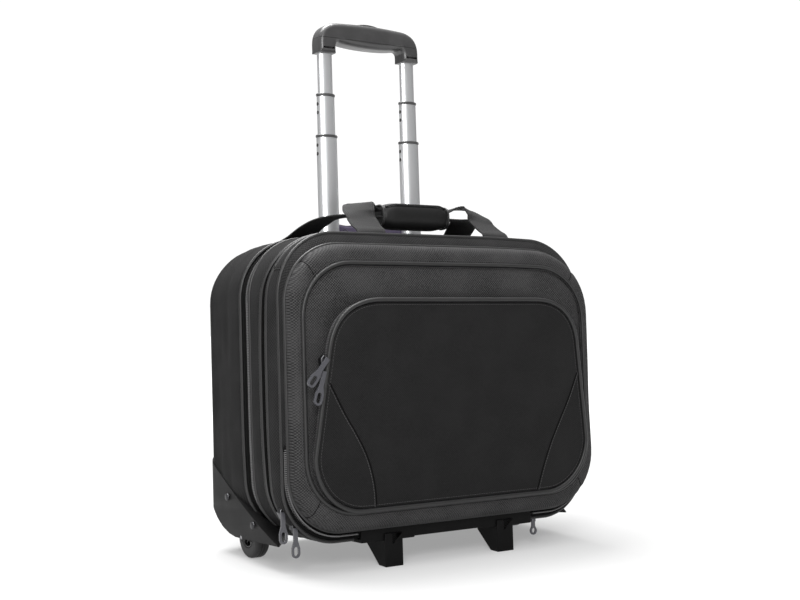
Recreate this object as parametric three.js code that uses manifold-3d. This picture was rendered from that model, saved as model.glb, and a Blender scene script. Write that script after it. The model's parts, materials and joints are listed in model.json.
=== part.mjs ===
// A soft-sided rolling laptop case with a telescopic pull handle, in millimetres, +Z up.
//
// The case is drawn in its own upright frame: x is across it with 0 on the plane of symmetry,
// y runs back from the front zip plane, and z rises along the case from the lid's lower edge.
// At the end the whole case is leant back on its feet and wheels and stood on its footprint.
import * as THREE from 'three';
import { mergeVertices } from 'three/addons/utils/BufferGeometryUtils.js';
import Module from 'manifold-3d';

const wasm = await Module();
wasm.setup();

// Driving dimensions.
const GAP = 0.3;
const LEAN = THREE.MathUtils.degToRad(3.2);
const BODY = { half: 215, low: -12, high: 335, radius: 65, rear: 203, rearRound: 18, wall: 4 };
const LID = { half: 213, low: 0, high: 321, radius: 65, wall: 3.5, crest: -8 };
const PANEL = { half: 200, low: 21, high: 299, radius: 62, front: -16, thick: 4 };
const POCKET = { low: 23, high: 256, lowHalf: 192, highHalf: 171, lowFront: -19.5, highFront: -35, wall: 4 };
const ZIP_RECESS = 3;
const ZIP_C_DEPTH = 12;
const FOOT = { x: 80, width: 24, front: 0.6, topDepth: 41, soleDepth: 15, floor: -46.2 };
const RAIL = { half: 122, front: 3, back: 45, low: -15, lipTop: -1, thick: 2.7 };
const WHEEL = { x: 192, y: 132, radius: 25.5, width: 18, hub: 13, axle: 2.5 };
const GUARD = { face: 217.5, low: -15, inner: 168, back: 205.8, top: 80, shell: 2.5, tuck: 209, bend: 45,
  pull: 8, soleFront: 97 };
const TUBE = { x: 62.5, y: 160, wall: 1.3, play: 0.5 };
const RECESS = { half: 95, front: 140, back: 182, low: 288, high: 334.7, wall: 2 };
const BEZEL = { half: 84, front: 145, back: 175, thick: 3 };
const COVER = { front: 134, back: 137 };
const BOARD = { half: 145, front: 9, back: 71, thick: 2 };
const GRIP = { half: 75.5, legLow: 582, barTop: 622, legWidth: 25, depth: 27, split: 601 };
const PULL = { topWidth: 5, endWidth: 10, thick: 2.4 };

// Sections of the telescopic tubes, as half axes of an oval, and their ends at rest.
const STAGES = {
  outer: { a: 15.8, b: 11.3, from: 3, to: 287.7 },
  lower: { a: 14.0, b: 9.5, from: 192, to: 473.7 },
  middle: { a: 12.2, b: 7.7, from: 250, to: 526.7 },
  upper: { a: 10.4, b: 5.9, from: 330, to: 599 },
};
const COLLAR = { tall: 3, lip: 0.9 };

const material = (color, roughness, metalness = 0) =>
  new THREE.MeshStandardMaterial({ color, roughness, metalness });
const FABRIC = 0x2a2a2d;
const TRIM = 0x161618;
const PLASTIC = 0x2c2d30;
const ALUMINIUM = 0xd4d6d9;
const LINING = 0x4a4058;

const caseBody = new THREE.Group();

function add(name, geometry, color, roughness = 0.85, metalness = 0, parent = caseBody) {
  const mesh = new THREE.Mesh(geometry, material(color, roughness, metalness));
  mesh.name = name;
  parent.add(mesh);
  return mesh;
}

// ---- Solids and booleans --------------------------------------------------------------------

function solidOf(geometry) {
  const plain = geometry.index ? geometry.toNonIndexed() : geometry.clone();
  plain.deleteAttribute('normal');
  plain.deleteAttribute('uv');
  const merged = mergeVertices(plain, 1e-4);
  const mesh = new wasm.Mesh({
    numProp: 3,
    vertProperties: new Float32Array(merged.attributes.position.array),
    triVerts: new Uint32Array(merged.index.array),
  });
  return new wasm.Manifold(mesh);
}

function geometryOf(solid) {
  const mesh = solid.getMesh();
  const geometry = new THREE.BufferGeometry();
  geometry.setAttribute('position', new THREE.BufferAttribute(mesh.vertProperties, 3));
  geometry.setIndex(new THREE.BufferAttribute(mesh.triVerts, 1));
  return geometry;
}

const cut = (geometry, ...tools) =>
  geometryOf(tools.reduce((solid, tool) => solid.subtract(solidOf(tool)), solidOf(geometry)));
const join = (geometry, ...others) =>
  geometryOf(others.reduce((solid, other) => solid.add(solidOf(other)), solidOf(geometry)));
const common = (geometry, ...others) =>
  geometryOf(others.reduce((solid, other) => solid.intersect(solidOf(other)), solidOf(geometry)));

function box(x0, x1, y0, y1, z0, z1) {
  const geometry = new THREE.BoxGeometry(x1 - x0, y1 - y0, z1 - z0);
  return geometry.translate((x0 + x1) / 2, (y0 + y1) / 2, (z0 + z1) / 2);
}

// A rod along x.
function rod(x0, x1, y, z, radius, sides = 16) {
  const geometry = new THREE.CylinderGeometry(radius, radius, x1 - x0, sides);
  return geometry.rotateZ(Math.PI / 2).translate((x0 + x1) / 2, y, z);
}

// An outline in x and z, extruded from y0 back to y1.
function slab(shape, y0, y1, curveSegments = 6) {
  const geometry = new THREE.ExtrudeGeometry(shape, { depth: y1 - y0, bevelEnabled: false, curveSegments });
  return geometry.rotateX(Math.PI / 2).translate(0, y1, 0);
}

// An outline in y and z, extruded from x0 to x1.
function profile(shape, x0, x1, curveSegments = 6) {
  const geometry = new THREE.ExtrudeGeometry(shape, { depth: x1 - x0, bevelEnabled: false, curveSegments });
  return geometry.rotateY(Math.PI / 2).rotateX(Math.PI / 2).translate(x0, 0, 0);
}

// An outline in x and y, extruded up from z0 to z1.
function column(shape, z0, z1, curveSegments = 8) {
  const geometry = new THREE.ExtrudeGeometry(shape, { depth: z1 - z0, bevelEnabled: false, curveSegments });
  return geometry.translate(0, 0, z0);
}

const polygon = (...points) => new THREE.Shape(points.map(([a, b]) => new THREE.Vector2(a, b)));

// ---- Lofted shells --------------------------------------------------------------------------

const CORNER_STEPS = 6;

// A rounded rectangle in x and z as a list of points, anticlockwise, drawn in by an inset.
function roundedOutline({ half, low, high, radius }, inset = 0) {
  const r = radius - inset;
  const [left, right] = [-half + radius, half - radius];
  const [bottom, top] = [low + radius, high - radius];
  const path = new THREE.Path();
  path.absarc(right, bottom, r, -Math.PI / 2, 0);
  path.absarc(right, top, r, 0, Math.PI / 2);
  path.absarc(left, top, r, Math.PI / 2, Math.PI);
  path.absarc(left, bottom, r, Math.PI, 1.5 * Math.PI);
  return path.getPoints(CORNER_STEPS).filter((p, i, all) => i === 0 || p.distanceTo(all[i - 1]) > 1e-6);
}

// A ring of points in space: the outline's x and z, with y from a number or a function of z.
function ring(outline, y) {
  const depth = typeof y === 'function' ? y : () => y;
  return outline.map((p) => new THREE.Vector3(p.x, depth(p.y), p.y));
}

// A closed surface through a list of rings with equal numbers of points. The ends are capped,
// or, where the list closes on itself, the last ring joins the first and the solid is a band.
function loft(rings, closed = false) {
  const count = rings[0].length;
  const positions = rings.flat().flatMap((p) => [p.x, p.y, p.z]);
  const index = [];
  const bands = closed ? rings.length : rings.length - 1;
  for (let i = 0; i < bands; i += 1) {
    const a = i * count;
    const b = ((i + 1) % rings.length) * count;
    for (let j = 0; j < count; j += 1) {
      const k = (j + 1) % count;
      index.push(a + j, a + k, b + k, a + j, b + k, b + j);
    }
  }
  if (!closed) {
    const flat = rings[0].map((p) => new THREE.Vector2(p.x, p.z));
    const last = (rings.length - 1) * count;
    for (const [a, b, c] of THREE.ShapeUtils.triangulateShape(flat, [])) {
      index.push(c, b, a, last + a, last + b, last + c);
    }
  }
  const geometry = new THREE.BufferGeometry();
  geometry.setAttribute('position', new THREE.Float32BufferAttribute(positions, 3));
  geometry.setIndex(index);
  return facingOut(geometry);
}

function facingOut(geometry) {
  const p = geometry.attributes.position;
  const index = geometry.index.array;
  const corner = [new THREE.Vector3(), new THREE.Vector3(), new THREE.Vector3()];
  let volume = 0;
  for (let i = 0; i < index.length; i += 3) {
    corner.forEach((v, k) => v.fromBufferAttribute(p, index[i + k]));
    volume += corner[0].dot(corner[1].cross(corner[2]));
  }
  if (volume < 0) {
    for (let i = 0; i < index.length; i += 3) {
      [index[i], index[i + 1]] = [index[i + 1], index[i]];
    }
  }
  return geometry;
}

// A ring-shaped wall between two depths, from an outer inset to an inner one.
function wallBand(outline, front, back, outerInset, innerInset) {
  const outer = roundedOutline(outline, outerInset);
  const inner = roundedOutline(outline, innerInset);
  return loft([ring(outer, front), ring(outer, back), ring(inner, back), ring(inner, front)], true);
}

// A flat strap along a curve, lying level across its run.
function strap(curve, steps, halfWidthAt, thick) {
  const up = new THREE.Vector3(0, 0, 1);
  const rings = [];
  for (let i = 0; i <= steps; i += 1) {
    const u = i / steps;
    const centre = curve.getPointAt(u);
    const tangent = curve.getTangentAt(u);
    const across = tangent.clone().cross(up).normalize();
    const lift = across.clone().cross(tangent).normalize().multiplyScalar(thick / 2);
    across.multiplyScalar(halfWidthAt(u));
    const corner = (a, b) => centre.clone().addScaledVector(across, a).addScaledVector(lift, b);
    rings.push([corner(-1, -1), corner(1, -1), corner(1, 1), corner(-1, 1)]);
  }
  const count = 4;
  const positions = rings.flat().flatMap((p) => [p.x, p.y, p.z]);
  const index = [0, 1, 2, 0, 2, 3];
  for (let i = 0; i < steps; i += 1) {
    for (let j = 0; j < count; j += 1) {
      const [a, b] = [i * count + j, i * count + ((j + 1) % count)];
      index.push(a, a + count, b + count, a, b + count, b);
    }
  }
  const end = steps * count;
  index.push(end, end + 2, end + 1, end, end + 3, end + 2);
  const geometry = new THREE.BufferGeometry();
  geometry.setAttribute('position', new THREE.Float32BufferAttribute(positions, 3));
  geometry.setIndex(index);
  return facingOut(geometry);
}

// ---- Seam lines of the soft body ------------------------------------------------------------

// Each zip line keeps its depth at mid height and bows forward towards the corners.
const MID = (BODY.low + BODY.high) / 2;
const bow = (z) => (Math.abs(z - MID) / (BODY.high - MID)) ** 3;
const lowBow = (z) => (z < MID ? bow(z) : 0);
const zipBFront = (z) => 44 - 20 * bow(z);
const zipBBack = (z) => 58 - 26 * bow(z);
const zipAFront = (z) => 84 - 15 * lowBow(z);
const zipABack = (z) => 107 - 15 * lowBow(z);
const after = (line) => (z) => line(z) + GAP / 2;
const before = (line) => (z) => line(z) - GAP / 2;

// ---- Wheels and their guards ----------------------------------------------------------------

// The floor, in the case's leaning frame.
const floorAt = (y) => FOOT.floor + Math.tan(LEAN) * (y - 5);
const WHEEL_Z = floorAt(WHEEL.y) + WHEEL.radius / Math.cos(LEAN);
const WELL = {
  x0: WHEEL.x - WHEEL.width / 2 - 3,
  x1: WHEEL.x + WHEEL.width / 2 + 2.5,
  y0: WHEEL.y - WHEEL.radius - 2.5,
  y1: WHEEL.y + WHEEL.radius + 2.5,
  top: WHEEL_Z + WHEEL.radius + 3,
  wall: 2,
};

// The space the wheel housing takes out of the soft body on the right, grown by an amount.
function housingBox(grow) {
  const { x0, x1, y0, y1, top, wall } = WELL;
  const g = wall + grow;
  return box(x0 - g, x1 + g, y0 - g, y1 + g, GUARD.low, top + g);
}

const mirrored = (geometry) => {
  const copy = geometry.clone();
  copy.scale(-1, 1, 1);
  return facingOut(mergeVertices(stripped(copy), 1e-5));
};

function stripped(geometry) {
  geometry.deleteAttribute('normal');
  geometry.deleteAttribute('uv');
  return geometry;
}

// The case's outer surface from its zip line to the rounded back, grown by an amount.
function formRings(front, grow) {
  const rings = [ring(roundedOutline(BODY, -grow), front)];
  const steps = 3;
  for (let i = 0; i <= steps; i += 1) {
    const angle = (i / steps) * (Math.PI / 2);
    const inset = BODY.rearRound * (1 - Math.cos(angle)) - grow;
    const y = BODY.rear - BODY.rearRound + (BODY.rearRound + grow) * Math.sin(angle);
    rings.push(ring(roundedOutline(BODY, inset), y));
  }
  return rings;
}

const bodyForm = (front, grow) => loft(formRings(front, grow));

// The rear half runs from inside its back wall forward to the zip line and back outside again.
function rearShell() {
  const front = after(zipABack);
  const shell = loft([...formRings(front, -BODY.wall).reverse(), ...formRings(front, 0)]);
  const top = box(-RECESS.half - GAP, RECESS.half + GAP, RECESS.front - GAP, RECESS.back + GAP, 300, 340);
  const right = housingBox(GAP);
  return cut(shell, top, right, mirrored(right));
}

// The hard corner moulding on the right: it hugs the fabric outside and holds the wheel well.
function guardFaceAt(z) {
  const start = new THREE.Vector2(GUARD.face, GUARD.bend);
  const curve = new THREE.QuadraticBezierCurve(start, new THREE.Vector2(GUARD.face, GUARD.pull),
    new THREE.Vector2(GUARD.tuck, GUARD.low));
  if (z >= start.y) return GUARD.face;
  const points = curve.getPoints(24);
  const i = points.findIndex((p) => p.y <= z);
  const [a, b] = [points[i - 1], points[i]];
  return a.x + ((b.x - a.x) * (z - a.y)) / (b.y - a.y);
}

const SCREWS = { rear: { y: 148, z: 33 }, front: { y: 88, z: 5 } };

function wheelGuard() {
  const section = new THREE.Shape();
  section.moveTo(GUARD.inner, GUARD.low);
  section.lineTo(GUARD.tuck, GUARD.low);
  section.quadraticCurveTo(GUARD.face, GUARD.pull, GUARD.face, GUARD.bend);
  section.lineTo(GUARD.face, GUARD.top + 10);
  section.lineTo(GUARD.inner, GUARD.top + 10);
  const side = new THREE.Shape();
  side.moveTo(38, GUARD.low);
  side.lineTo(148, GUARD.low);
  side.bezierCurveTo(180, -12, 199, 12, GUARD.back, GUARD.top - 20);
  side.lineTo(GUARD.back, GUARD.top);
  side.lineTo(40, -13.2);
  const plan = new THREE.Shape();
  const round = BODY.rearRound + GUARD.shell;
  plan.moveTo(GUARD.inner - 1, GUARD.soleFront);
  plan.lineTo(GUARD.tuck, 36);
  plan.lineTo(GUARD.face + 1, 30);
  plan.lineTo(GUARD.face + 1, GUARD.back - round);
  plan.absarc(GUARD.face - round, GUARD.back - round, round, 0, Math.PI / 2);
  plan.lineTo(GUARD.inner - 1, GUARD.back);
  const block = common(slab(section, 30, 210), profile(side, 160, 220), column(plan, -30, 100, 4));
  const hugging = cut(block, bodyForm(20, GAP));
  const { x0, x1, y0, y1, top, wall } = WELL;
  const lug = rod(x0 - wall, x1 + wall + 1.3, WHEEL.y, WHEEL_Z, 6.5, 14);
  const walled = join(hugging, housingBox(0), lug);
  const cavity = box(x0, x1, y0, y1, -60, top);
  const bore = rod(x0 - 10, x1 + 14, WHEEL.y, WHEEL_Z, WHEEL.axle + GAP, 12);
  const holes = Object.values(SCREWS).map(({ y, z }) => rod(200, 230, y, z, 2.4, 8));
  return cut(walled, cavity, bore, ...holes);
}

function guardScrew({ y, z }) {
  const seat = guardFaceAt(z) + 1.1;
  const shape = [[0, -1.8], [2, -1.8], [2, 0], [4.6, 0], [4.2, 1.1], [2.4, 1.7], [0, 1.7]];
  const lathe = new THREE.LatheGeometry(shape.map(([r, h]) => new THREE.Vector2(r, h)), 12);
  return lathe.rotateZ(-Math.PI / 2).translate(seat, y, z);
}

function wheelTyre() {
  const { radius, width, hub } = WHEEL;
  const w = width / 2;
  const shape = [[hub + GAP, -w], [radius - 3, -w], [radius, -w + 4], [radius, w - 4], [radius - 3, w],
    [hub + GAP, w], [hub + GAP, -w]];
  const lathe = new THREE.LatheGeometry(shape.map(([r, h]) => new THREE.Vector2(r, h)), 28);
  return lathe.rotateZ(-Math.PI / 2).translate(WHEEL.x, WHEEL.y, WHEEL_Z);
}

// The hub is dished on its outer side, with a raised boss round the axle.
function wheelHub() {
  const { width, hub, axle } = WHEEL;
  const w = width / 2;
  const shape = [[axle + GAP, -w], [hub, -w], [hub, w], [hub - 2, w], [hub - 2, w - 6], [6, w - 6],
    [5.5, w], [axle + GAP, w], [axle + GAP, -w]];
  const lathe = new THREE.LatheGeometry(shape.map(([r, h]) => new THREE.Vector2(r, h)), 20);
  return lathe.rotateZ(-Math.PI / 2).translate(WHEEL.x, WHEEL.y, WHEEL_Z);
}

const wheelAxle = () => rod(WELL.x0 - 5, WELL.x1 + 6, WHEEL.y, WHEEL_Z, WHEEL.axle, 12);

// ---- Base rail and feet ---------------------------------------------------------------------

function baseRail() {
  const { half, front, back, low, lipTop, thick } = RAIL;
  const plate = box(-half, half, front, back, low, low + thick);
  const lip = box(-half, half, front, front + 3, low, lipTop);
  const block = box(50, half, front, back, low - 1.5, low + 1);
  return join(plate, lip, block, mirrored(block));
}

// A foot is a wedge with an upright front, a hollow slot in its face and a level sole.
function foot(x) {
  const { width, front, topDepth, soleDepth } = FOOT;
  const top = RAIL.low - 1.5 - GAP;
  const side = polygon([front, -8.2], [front + 2.1, -8.2], [front + 2.1, top], [front + topDepth, top],
    [front + topDepth, top - 6], [front + soleDepth, floorAt(front + soleDepth)], [front, floorAt(front)]);
  const wedge = profile(side, x - width / 2, x + width / 2);
  const slot = box(x - 1.5, x + 1.5, front - 1, front + 1.4, -20, -9.5);
  return cut(wedge, slot);
}

// ---- Telescopic handle ----------------------------------------------------------------------

function oval(x, a, b, holeA = 0, holeB = 0) {
  const shape = new THREE.Shape();
  shape.absellipse(x, TUBE.y, a, b, 0, 2 * Math.PI, false, 0);
  if (holeA > 0) {
    const hole = new THREE.Path();
    hole.absellipse(x, TUBE.y, holeA, holeB, 0, 2 * Math.PI, true, 0);
    shape.holes.push(hole);
  }
  return shape;
}

function tube(x, { a, b, from, to }, lockHoles = false) {
  const hollow = column(oval(x, a, b, a - TUBE.wall, b - TUBE.wall), from, to, 9);
  if (!lockHoles) return hollow;
  const holes = [10, 21].map((below) => rod(x - a - 2, x - a + 5, TUBE.y, to - below, 2.4, 8));
  return cut(hollow, ...holes);
}

function collar(x, { a, b, to }) {
  const { tall, lip } = COLLAR;
  const ringShape = oval(x, a + lip, b + lip, a - TUBE.wall, b - TUBE.wall);
  return column(ringShape, to + GAP, to + GAP + tall, 9);
}

// The lined pocket that the grip sinks into, open at the top, with an oval hole for each tube.
function handlePocketLiner() {
  const { half, front, back, low, high, wall } = RECESS;
  const outer = box(-half, half, front, back, low, high);
  const hollow = box(-half + wall, half - wall, front + wall, back - wall, low + wall, high + 5);
  return cut(outer, hollow, ...tubeHoles(low - 2, low + wall + 2));
}

function tubeHoles(z0, z1) {
  const { a, b } = STAGES.lower;
  return [-TUBE.x, TUBE.x].map((x) => column(oval(x, a + TUBE.play, b + TUBE.play), z0, z1, 9));
}

function tubeBezel() {
  const z = RECESS.low + RECESS.wall + GAP;
  const { half, front, back, thick } = BEZEL;
  return cut(box(-half, half, front, back, z, z + thick), ...tubeHoles(z - 2, z + thick + 2));
}

function tubeFootBracket() {
  return box(-BEZEL.half, BEZEL.half, BEZEL.front, BEZEL.back, BODY.low + BODY.wall + GAP,
    STAGES.outer.from - GAP);
}

// The grip's front outline: two legs under a bar that swells towards its middle.
function gripOutline() {
  const { half, legLow, barTop, legWidth } = GRIP;
  const shape = new THREE.Shape();
  const inner = half - legWidth;
  shape.moveTo(-half, legLow);
  shape.lineTo(-inner, legLow);
  shape.lineTo(-inner, legLow + 11);
  shape.quadraticCurveTo(-inner, legLow + 17, -inner + 8, legLow + 15);
  shape.quadraticCurveTo(0, legLow + 8, inner - 8, legLow + 15);
  shape.quadraticCurveTo(inner, legLow + 17, inner, legLow + 11);
  shape.lineTo(inner, legLow);
  shape.lineTo(half, legLow);
  shape.lineTo(half, barTop - 28);
  shape.bezierCurveTo(half, barTop - 12, half - 14, barTop, half - 30, barTop);
  shape.quadraticCurveTo(0, barTop + 3, -half + 30, barTop);
  shape.bezierCurveTo(-half + 14, barTop, -half, barTop - 12, -half, barTop - 28);
  return shape;
}

function gripForm() {
  const bevel = 6;
  const options = { depth: GRIP.depth - 2 * bevel, bevelThickness: bevel, bevelSize: bevel,
    bevelOffset: -bevel, bevelSegments: 2, curveSegments: 5 };
  const geometry = new THREE.ExtrudeGeometry(gripOutline(), options);
  return geometry.rotateX(Math.PI / 2).translate(0, TUBE.y + GRIP.depth / 2 - bevel, 0);
}

const BUTTON = { half: 16.5, depth: 6.5, barTop: GRIP.barTop + 1.5, proud: 2.4 };
const LINK = { half: 65, thick: 2.5, low: 604.7, high: 608 };

function gripUpperShell() {
  const keep = box(-100, 100, 100, 220, GRIP.split + GAP / 2, 700);
  const slot = box(-BUTTON.half - GAP, BUTTON.half + GAP, TUBE.y - BUTTON.depth - GAP,
    TUBE.y + BUTTON.depth + GAP, 610.5, 700);
  const channel = box(-LINK.half - 1, LINK.half + 1, TUBE.y - LINK.thick - 1, TUBE.y + LINK.thick + 1,
    590, LINK.high + 0.6);
  const stem = box(-4, 4, TUBE.y - 3.4, TUBE.y + 3.4, 600, 615);
  return cut(common(gripForm(), keep), slot, channel, stem);
}

function gripLowerShell() {
  const keep = box(-100, 100, 100, 220, 500, GRIP.split - GAP / 2);
  const { a, b } = STAGES.upper;
  const sockets = [-TUBE.x, TUBE.x].map((x) => column(oval(x, a + GAP, b + GAP), 500, 700, 9));
  return cut(common(gripForm(), keep), ...sockets);
}

// The button's cap stands on a stem with a link bar that reaches out over both tubes.
function releaseButton() {
  const { half, depth, barTop, proud } = BUTTON;
  const capTop = barTop + proud;
  const cap = new THREE.Shape();
  cap.moveTo(-half, 614);
  cap.lineTo(half, 614);
  cap.lineTo(half, capTop - 2);
  cap.quadraticCurveTo(0, capTop + 2, -half, capTop - 2);
  const top = slab(cap, TUBE.y - depth, TUBE.y + depth, 6);
  const stem = box(-3.5, 3.5, TUBE.y - 2.5, TUBE.y + 2.5, LINK.low, 615);
  const link = box(-LINK.half, LINK.half, TUBE.y - LINK.thick, TUBE.y + LINK.thick, LINK.low, LINK.high);
  return join(top, stem, link);
}

function releaseRod(x) {
  const rodGeometry = new THREE.CylinderGeometry(1.5, 1.5, LINK.low - GAP - 345, 8);
  return rodGeometry.rotateX(Math.PI / 2).translate(x, TUBE.y, (LINK.low - GAP + 345) / 2);
}

// ---- Lid and front pocket -------------------------------------------------------------------

// The border bows out to a crest in front of its zip line before it turns in to the panel.
function lidBorder() {
  const { front } = PANEL;
  const { crest, wall } = LID;
  const rings = [
    ring(roundedOutline(LID), -GAP),
    ring(roundedOutline(LID, 0.6), crest),
    ring(roundedOutline(PANEL, -3), front + 1),
    ring(roundedOutline(PANEL), front),
    ring(roundedOutline(PANEL, wall), front),
    ring(roundedOutline(LID, wall + 0.6), crest + wall),
    ring(roundedOutline(LID, wall), -GAP),
  ];
  return loft(rings, true);
}

function lidInnerPanel() {
  const edge = roundedOutline(PANEL, LID.wall + GAP);
  return loft([ring(edge, PANEL.front), ring(edge, PANEL.front + PANEL.thick)]);
}

// The pocket's outline: full width near the foot, drawn in towards a top with large round corners.
function pocketOutline(inset) {
  const { low, high, lowHalf, highHalf } = POCKET;
  const lower = 62 - inset;
  const path = new THREE.Path();
  path.absarc(lowHalf - 62, low + 62, lower, -Math.PI / 2, 0);
  path.lineTo(highHalf + 5 - inset, 200);
  path.bezierCurveTo(highHalf + 1 - inset, 236, highHalf - 22 - inset, high - inset, highHalf - 62, high - inset);
  path.lineTo(-highHalf + 62, high - inset);
  path.bezierCurveTo(-highHalf + 22 + inset, high - inset, -highHalf - 1 + inset, 236, -highHalf - 5 + inset, 200);
  path.absarc(-lowHalf + 62, low + 62, lower, Math.PI, 1.5 * Math.PI);
  return path.getPoints(7).filter((p, i, all) => i === 0 || p.distanceTo(all[i - 1]) > 1e-6);
}

// The pocket's piped edge stands further forward towards the top, and its face is crowned.
function pocketEdgeAt(z) {
  const { low, high, lowFront, highFront } = POCKET;
  return THREE.MathUtils.mapLinear(z, low, high, lowFront, highFront);
}

function frontPocket() {
  const back = PANEL.front - GAP;
  const { wall } = POCKET;
  const grown = (depth) => (z) => pocketEdgeAt(z) - depth;
  const outer = loft([ring(pocketOutline(2), back), ring(pocketOutline(0), grown(0)),
    ring(pocketOutline(10), grown(4.5)), ring(pocketOutline(34), grown(7))]);
  const hollow = loft([ring(pocketOutline(2 + wall), back + 1), ring(pocketOutline(2 + wall), grown(-0.5)),
    ring(pocketOutline(34), grown(7 - wall))]);
  return cut(outer, hollow);
}

// ---- Inner boards ---------------------------------------------------------------------------

function dividerPanel() {
  const edge = roundedOutline(BODY, ZIP_RECESS + BODY.wall + 0.4);
  return cut(loft([ring(edge, (z) => zipAFront(z) + 4), ring(edge, (z) => zipAFront(z) + 8)]),
    box(-300, 300, 0, 200, 300, 400));
}

function tubeCoverPanel() {
  const edge = roundedOutline(BODY, BODY.wall + 0.4);
  const right = housingBox(2 * GAP);
  return cut(loft([ring(edge, COVER.front), ring(edge, COVER.back)]), right, mirrored(right));
}

function bottomBoard() {
  const z = BODY.low + ZIP_RECESS + BODY.wall + GAP;
  return box(-BOARD.half, BOARD.half, BOARD.front, BOARD.back, z, z + BOARD.thick);
}

// ---- Carry handles --------------------------------------------------------------------------

const HANDLE = { baseHalf: 19, wrapHalf: 12, thick: 2.2 };
const WRAP = { half: 50, y0: 48, y1: 84, z0: 350, z1: 381, wall: 2.2 };

// A webbing run through its left half's points, mirrored to the right.
function handleCurve(left) {
  const right = left.slice(0, -1).reverse().map(([x, y, z]) => [-x, y, z]);
  const points = [...left, ...right].map((p) => new THREE.Vector3(...p));
  return new THREE.CatmullRomCurve3(points, false, 'centripetal');
}

const handleWidth = (u) => {
  const inwards = THREE.MathUtils.smoothstep(Math.min(u, 1 - u), 0.05, 0.3);
  return THREE.MathUtils.lerp(HANDLE.baseHalf, HANDLE.wrapHalf, inwards);
};

function frontCarryHandle() {
  const lift = BODY.high + GAP + HANDLE.thick / 2;
  const left = [[-90, 3, lift], [-90, 18, lift + 2], [-89, 34, 350], [-86, 50, 364], [-76, 62, 371],
    [-62, 66, 371], [-48, 66, 370], [0, 66, 370]];
  return strap(handleCurve(left), 40, handleWidth, HANDLE.thick);
}

function rearCarryHandle() {
  const lift = BODY.high + GAP + HANDLE.thick / 2;
  const left = [[-116, 188, lift], [-116, 168, lift + 1], [-115, 142, 343], [-110, 118, 354],
    [-100, 96, 362], [-84, 80, 364], [-66, 68, 362], [-48, 66, 362], [0, 66, 362]];
  return strap(handleCurve(left), 44, handleWidth, HANDLE.thick);
}

// The padded sleeve that buttons round both webbings.
function handleWrap() {
  const { half, y0, y1, z0, z1, wall } = WRAP;
  const oblong = (grow) => {
    const shape = new THREE.Shape();
    const r = (z1 - z0) / 2 + grow;
    const middle = (z0 + z1) / 2;
    const reach = (z1 - z0) / 2;
    shape.absarc(y1 - reach, middle, r, -Math.PI / 2, Math.PI / 2);
    shape.absarc(y0 + reach, middle, r, Math.PI / 2, 1.5 * Math.PI);
    return shape;
  };
  return cut(profile(oblong(0), -half, half, 5), profile(oblong(-wall), -half - 1, half + 1, 5));
}

// ---- Zip sliders and pulls ------------------------------------------------------------------

// A slider's body is a small wedge-ended block, thin across the tape and long along its track.
const SLIDER = { thin: 5.2, long: 12, wide: 8 };

function zipSlider(x, y, z, turn) {
  const [t, l, w] = [SLIDER.thin / 2, SLIDER.long / 2, SLIDER.wide / 2];
  const block = polygon([-t, -l], [t, -l], [t, l], [-t, l * 0.4]);
  return slab(block, -w, w).rotateY(turn).translate(x, y, z);
}

// A spot just outside the lower left corner of the body, at an angle below the horizontal.
function cornerSpot(angle) {
  const reach = BODY.radius + SLIDER.thin / 2 + 2 * GAP;
  return { x: -(BODY.half - BODY.radius) - reach * Math.cos(angle),
    z: BODY.low + BODY.radius - reach * Math.sin(angle), turn: -angle };
}

// A pull hangs from the origin: a narrow neck that widens to an end with an oblong hole.
function pullForm(length) {
  const { topWidth, endWidth, thick } = PULL;
  const [t, e] = [topWidth / 2, endWidth / 2];
  const shape = new THREE.Shape();
  shape.moveTo(-t, 2);
  shape.lineTo(-t, -length * 0.4);
  shape.lineTo(-e, -length * 0.65);
  shape.lineTo(-e, -length + e);
  shape.absarc(0, -length + e, e, Math.PI, 2 * Math.PI);
  shape.lineTo(e, -length * 0.65);
  shape.lineTo(t, -length * 0.4);
  shape.lineTo(t, 2);
  const hole = new THREE.Path();
  const r = e - 2.4;
  hole.absarc(0, -length + e, r, Math.PI, 2 * Math.PI);
  hole.absarc(0, -length * 0.68, r, 0, Math.PI);
  shape.holes.push(hole);
  return slab(shape, -thick / 2, thick / 2, 5);
}

// ---- The case -------------------------------------------------------------------------------

add('rear_shell', rearShell(), FABRIC);
add('rear_zip_band', wallBand(BODY, after(zipAFront), before(zipABack), ZIP_RECESS,
  ZIP_RECESS + BODY.wall), TRIM);
add('middle_gusset', wallBand(BODY, after(zipBBack), before(zipAFront), 0, BODY.wall), FABRIC);
add('middle_zip_band', wallBand(BODY, after(zipBFront), before(zipBBack), ZIP_RECESS,
  ZIP_RECESS + BODY.wall), TRIM);

const railCut = box(-RAIL.half - GAP, RAIL.half + GAP, -5, RAIL.front + 3 + GAP, -20, RAIL.lipTop + GAP);
const gusset = wallBand(BODY, ZIP_C_DEPTH + GAP, before(zipBFront), 0, BODY.wall);
add('front_gusset', gusset, FABRIC);
const bandC = loft([ring(roundedOutline(LID), 0), ring(roundedOutline(BODY), ZIP_C_DEPTH),
  ring(roundedOutline(BODY, BODY.wall), ZIP_C_DEPTH), ring(roundedOutline(LID, BODY.wall), 0)], true);
add('front_zip_band', cut(bandC, railCut), TRIM, 0.6);

add('divider_panel', dividerPanel(), LINING);
add('tube_cover_panel', tubeCoverPanel(), LINING);
add('bottom_board', bottomBoard(), TRIM);
add('handle_pocket_liner', handlePocketLiner(), LINING);
add('tube_bezel', tubeBezel(), PLASTIC, 0.5);
add('tube_foot_bracket', tubeFootBracket(), PLASTIC, 0.6);
add('front_carry_handle', frontCarryHandle(), TRIM);
add('rear_carry_handle', rearCarryHandle(), TRIM);
add('handle_wrap', handleWrap(), TRIM);
add('base_rail', baseRail(), PLASTIC, 0.5);

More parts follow.
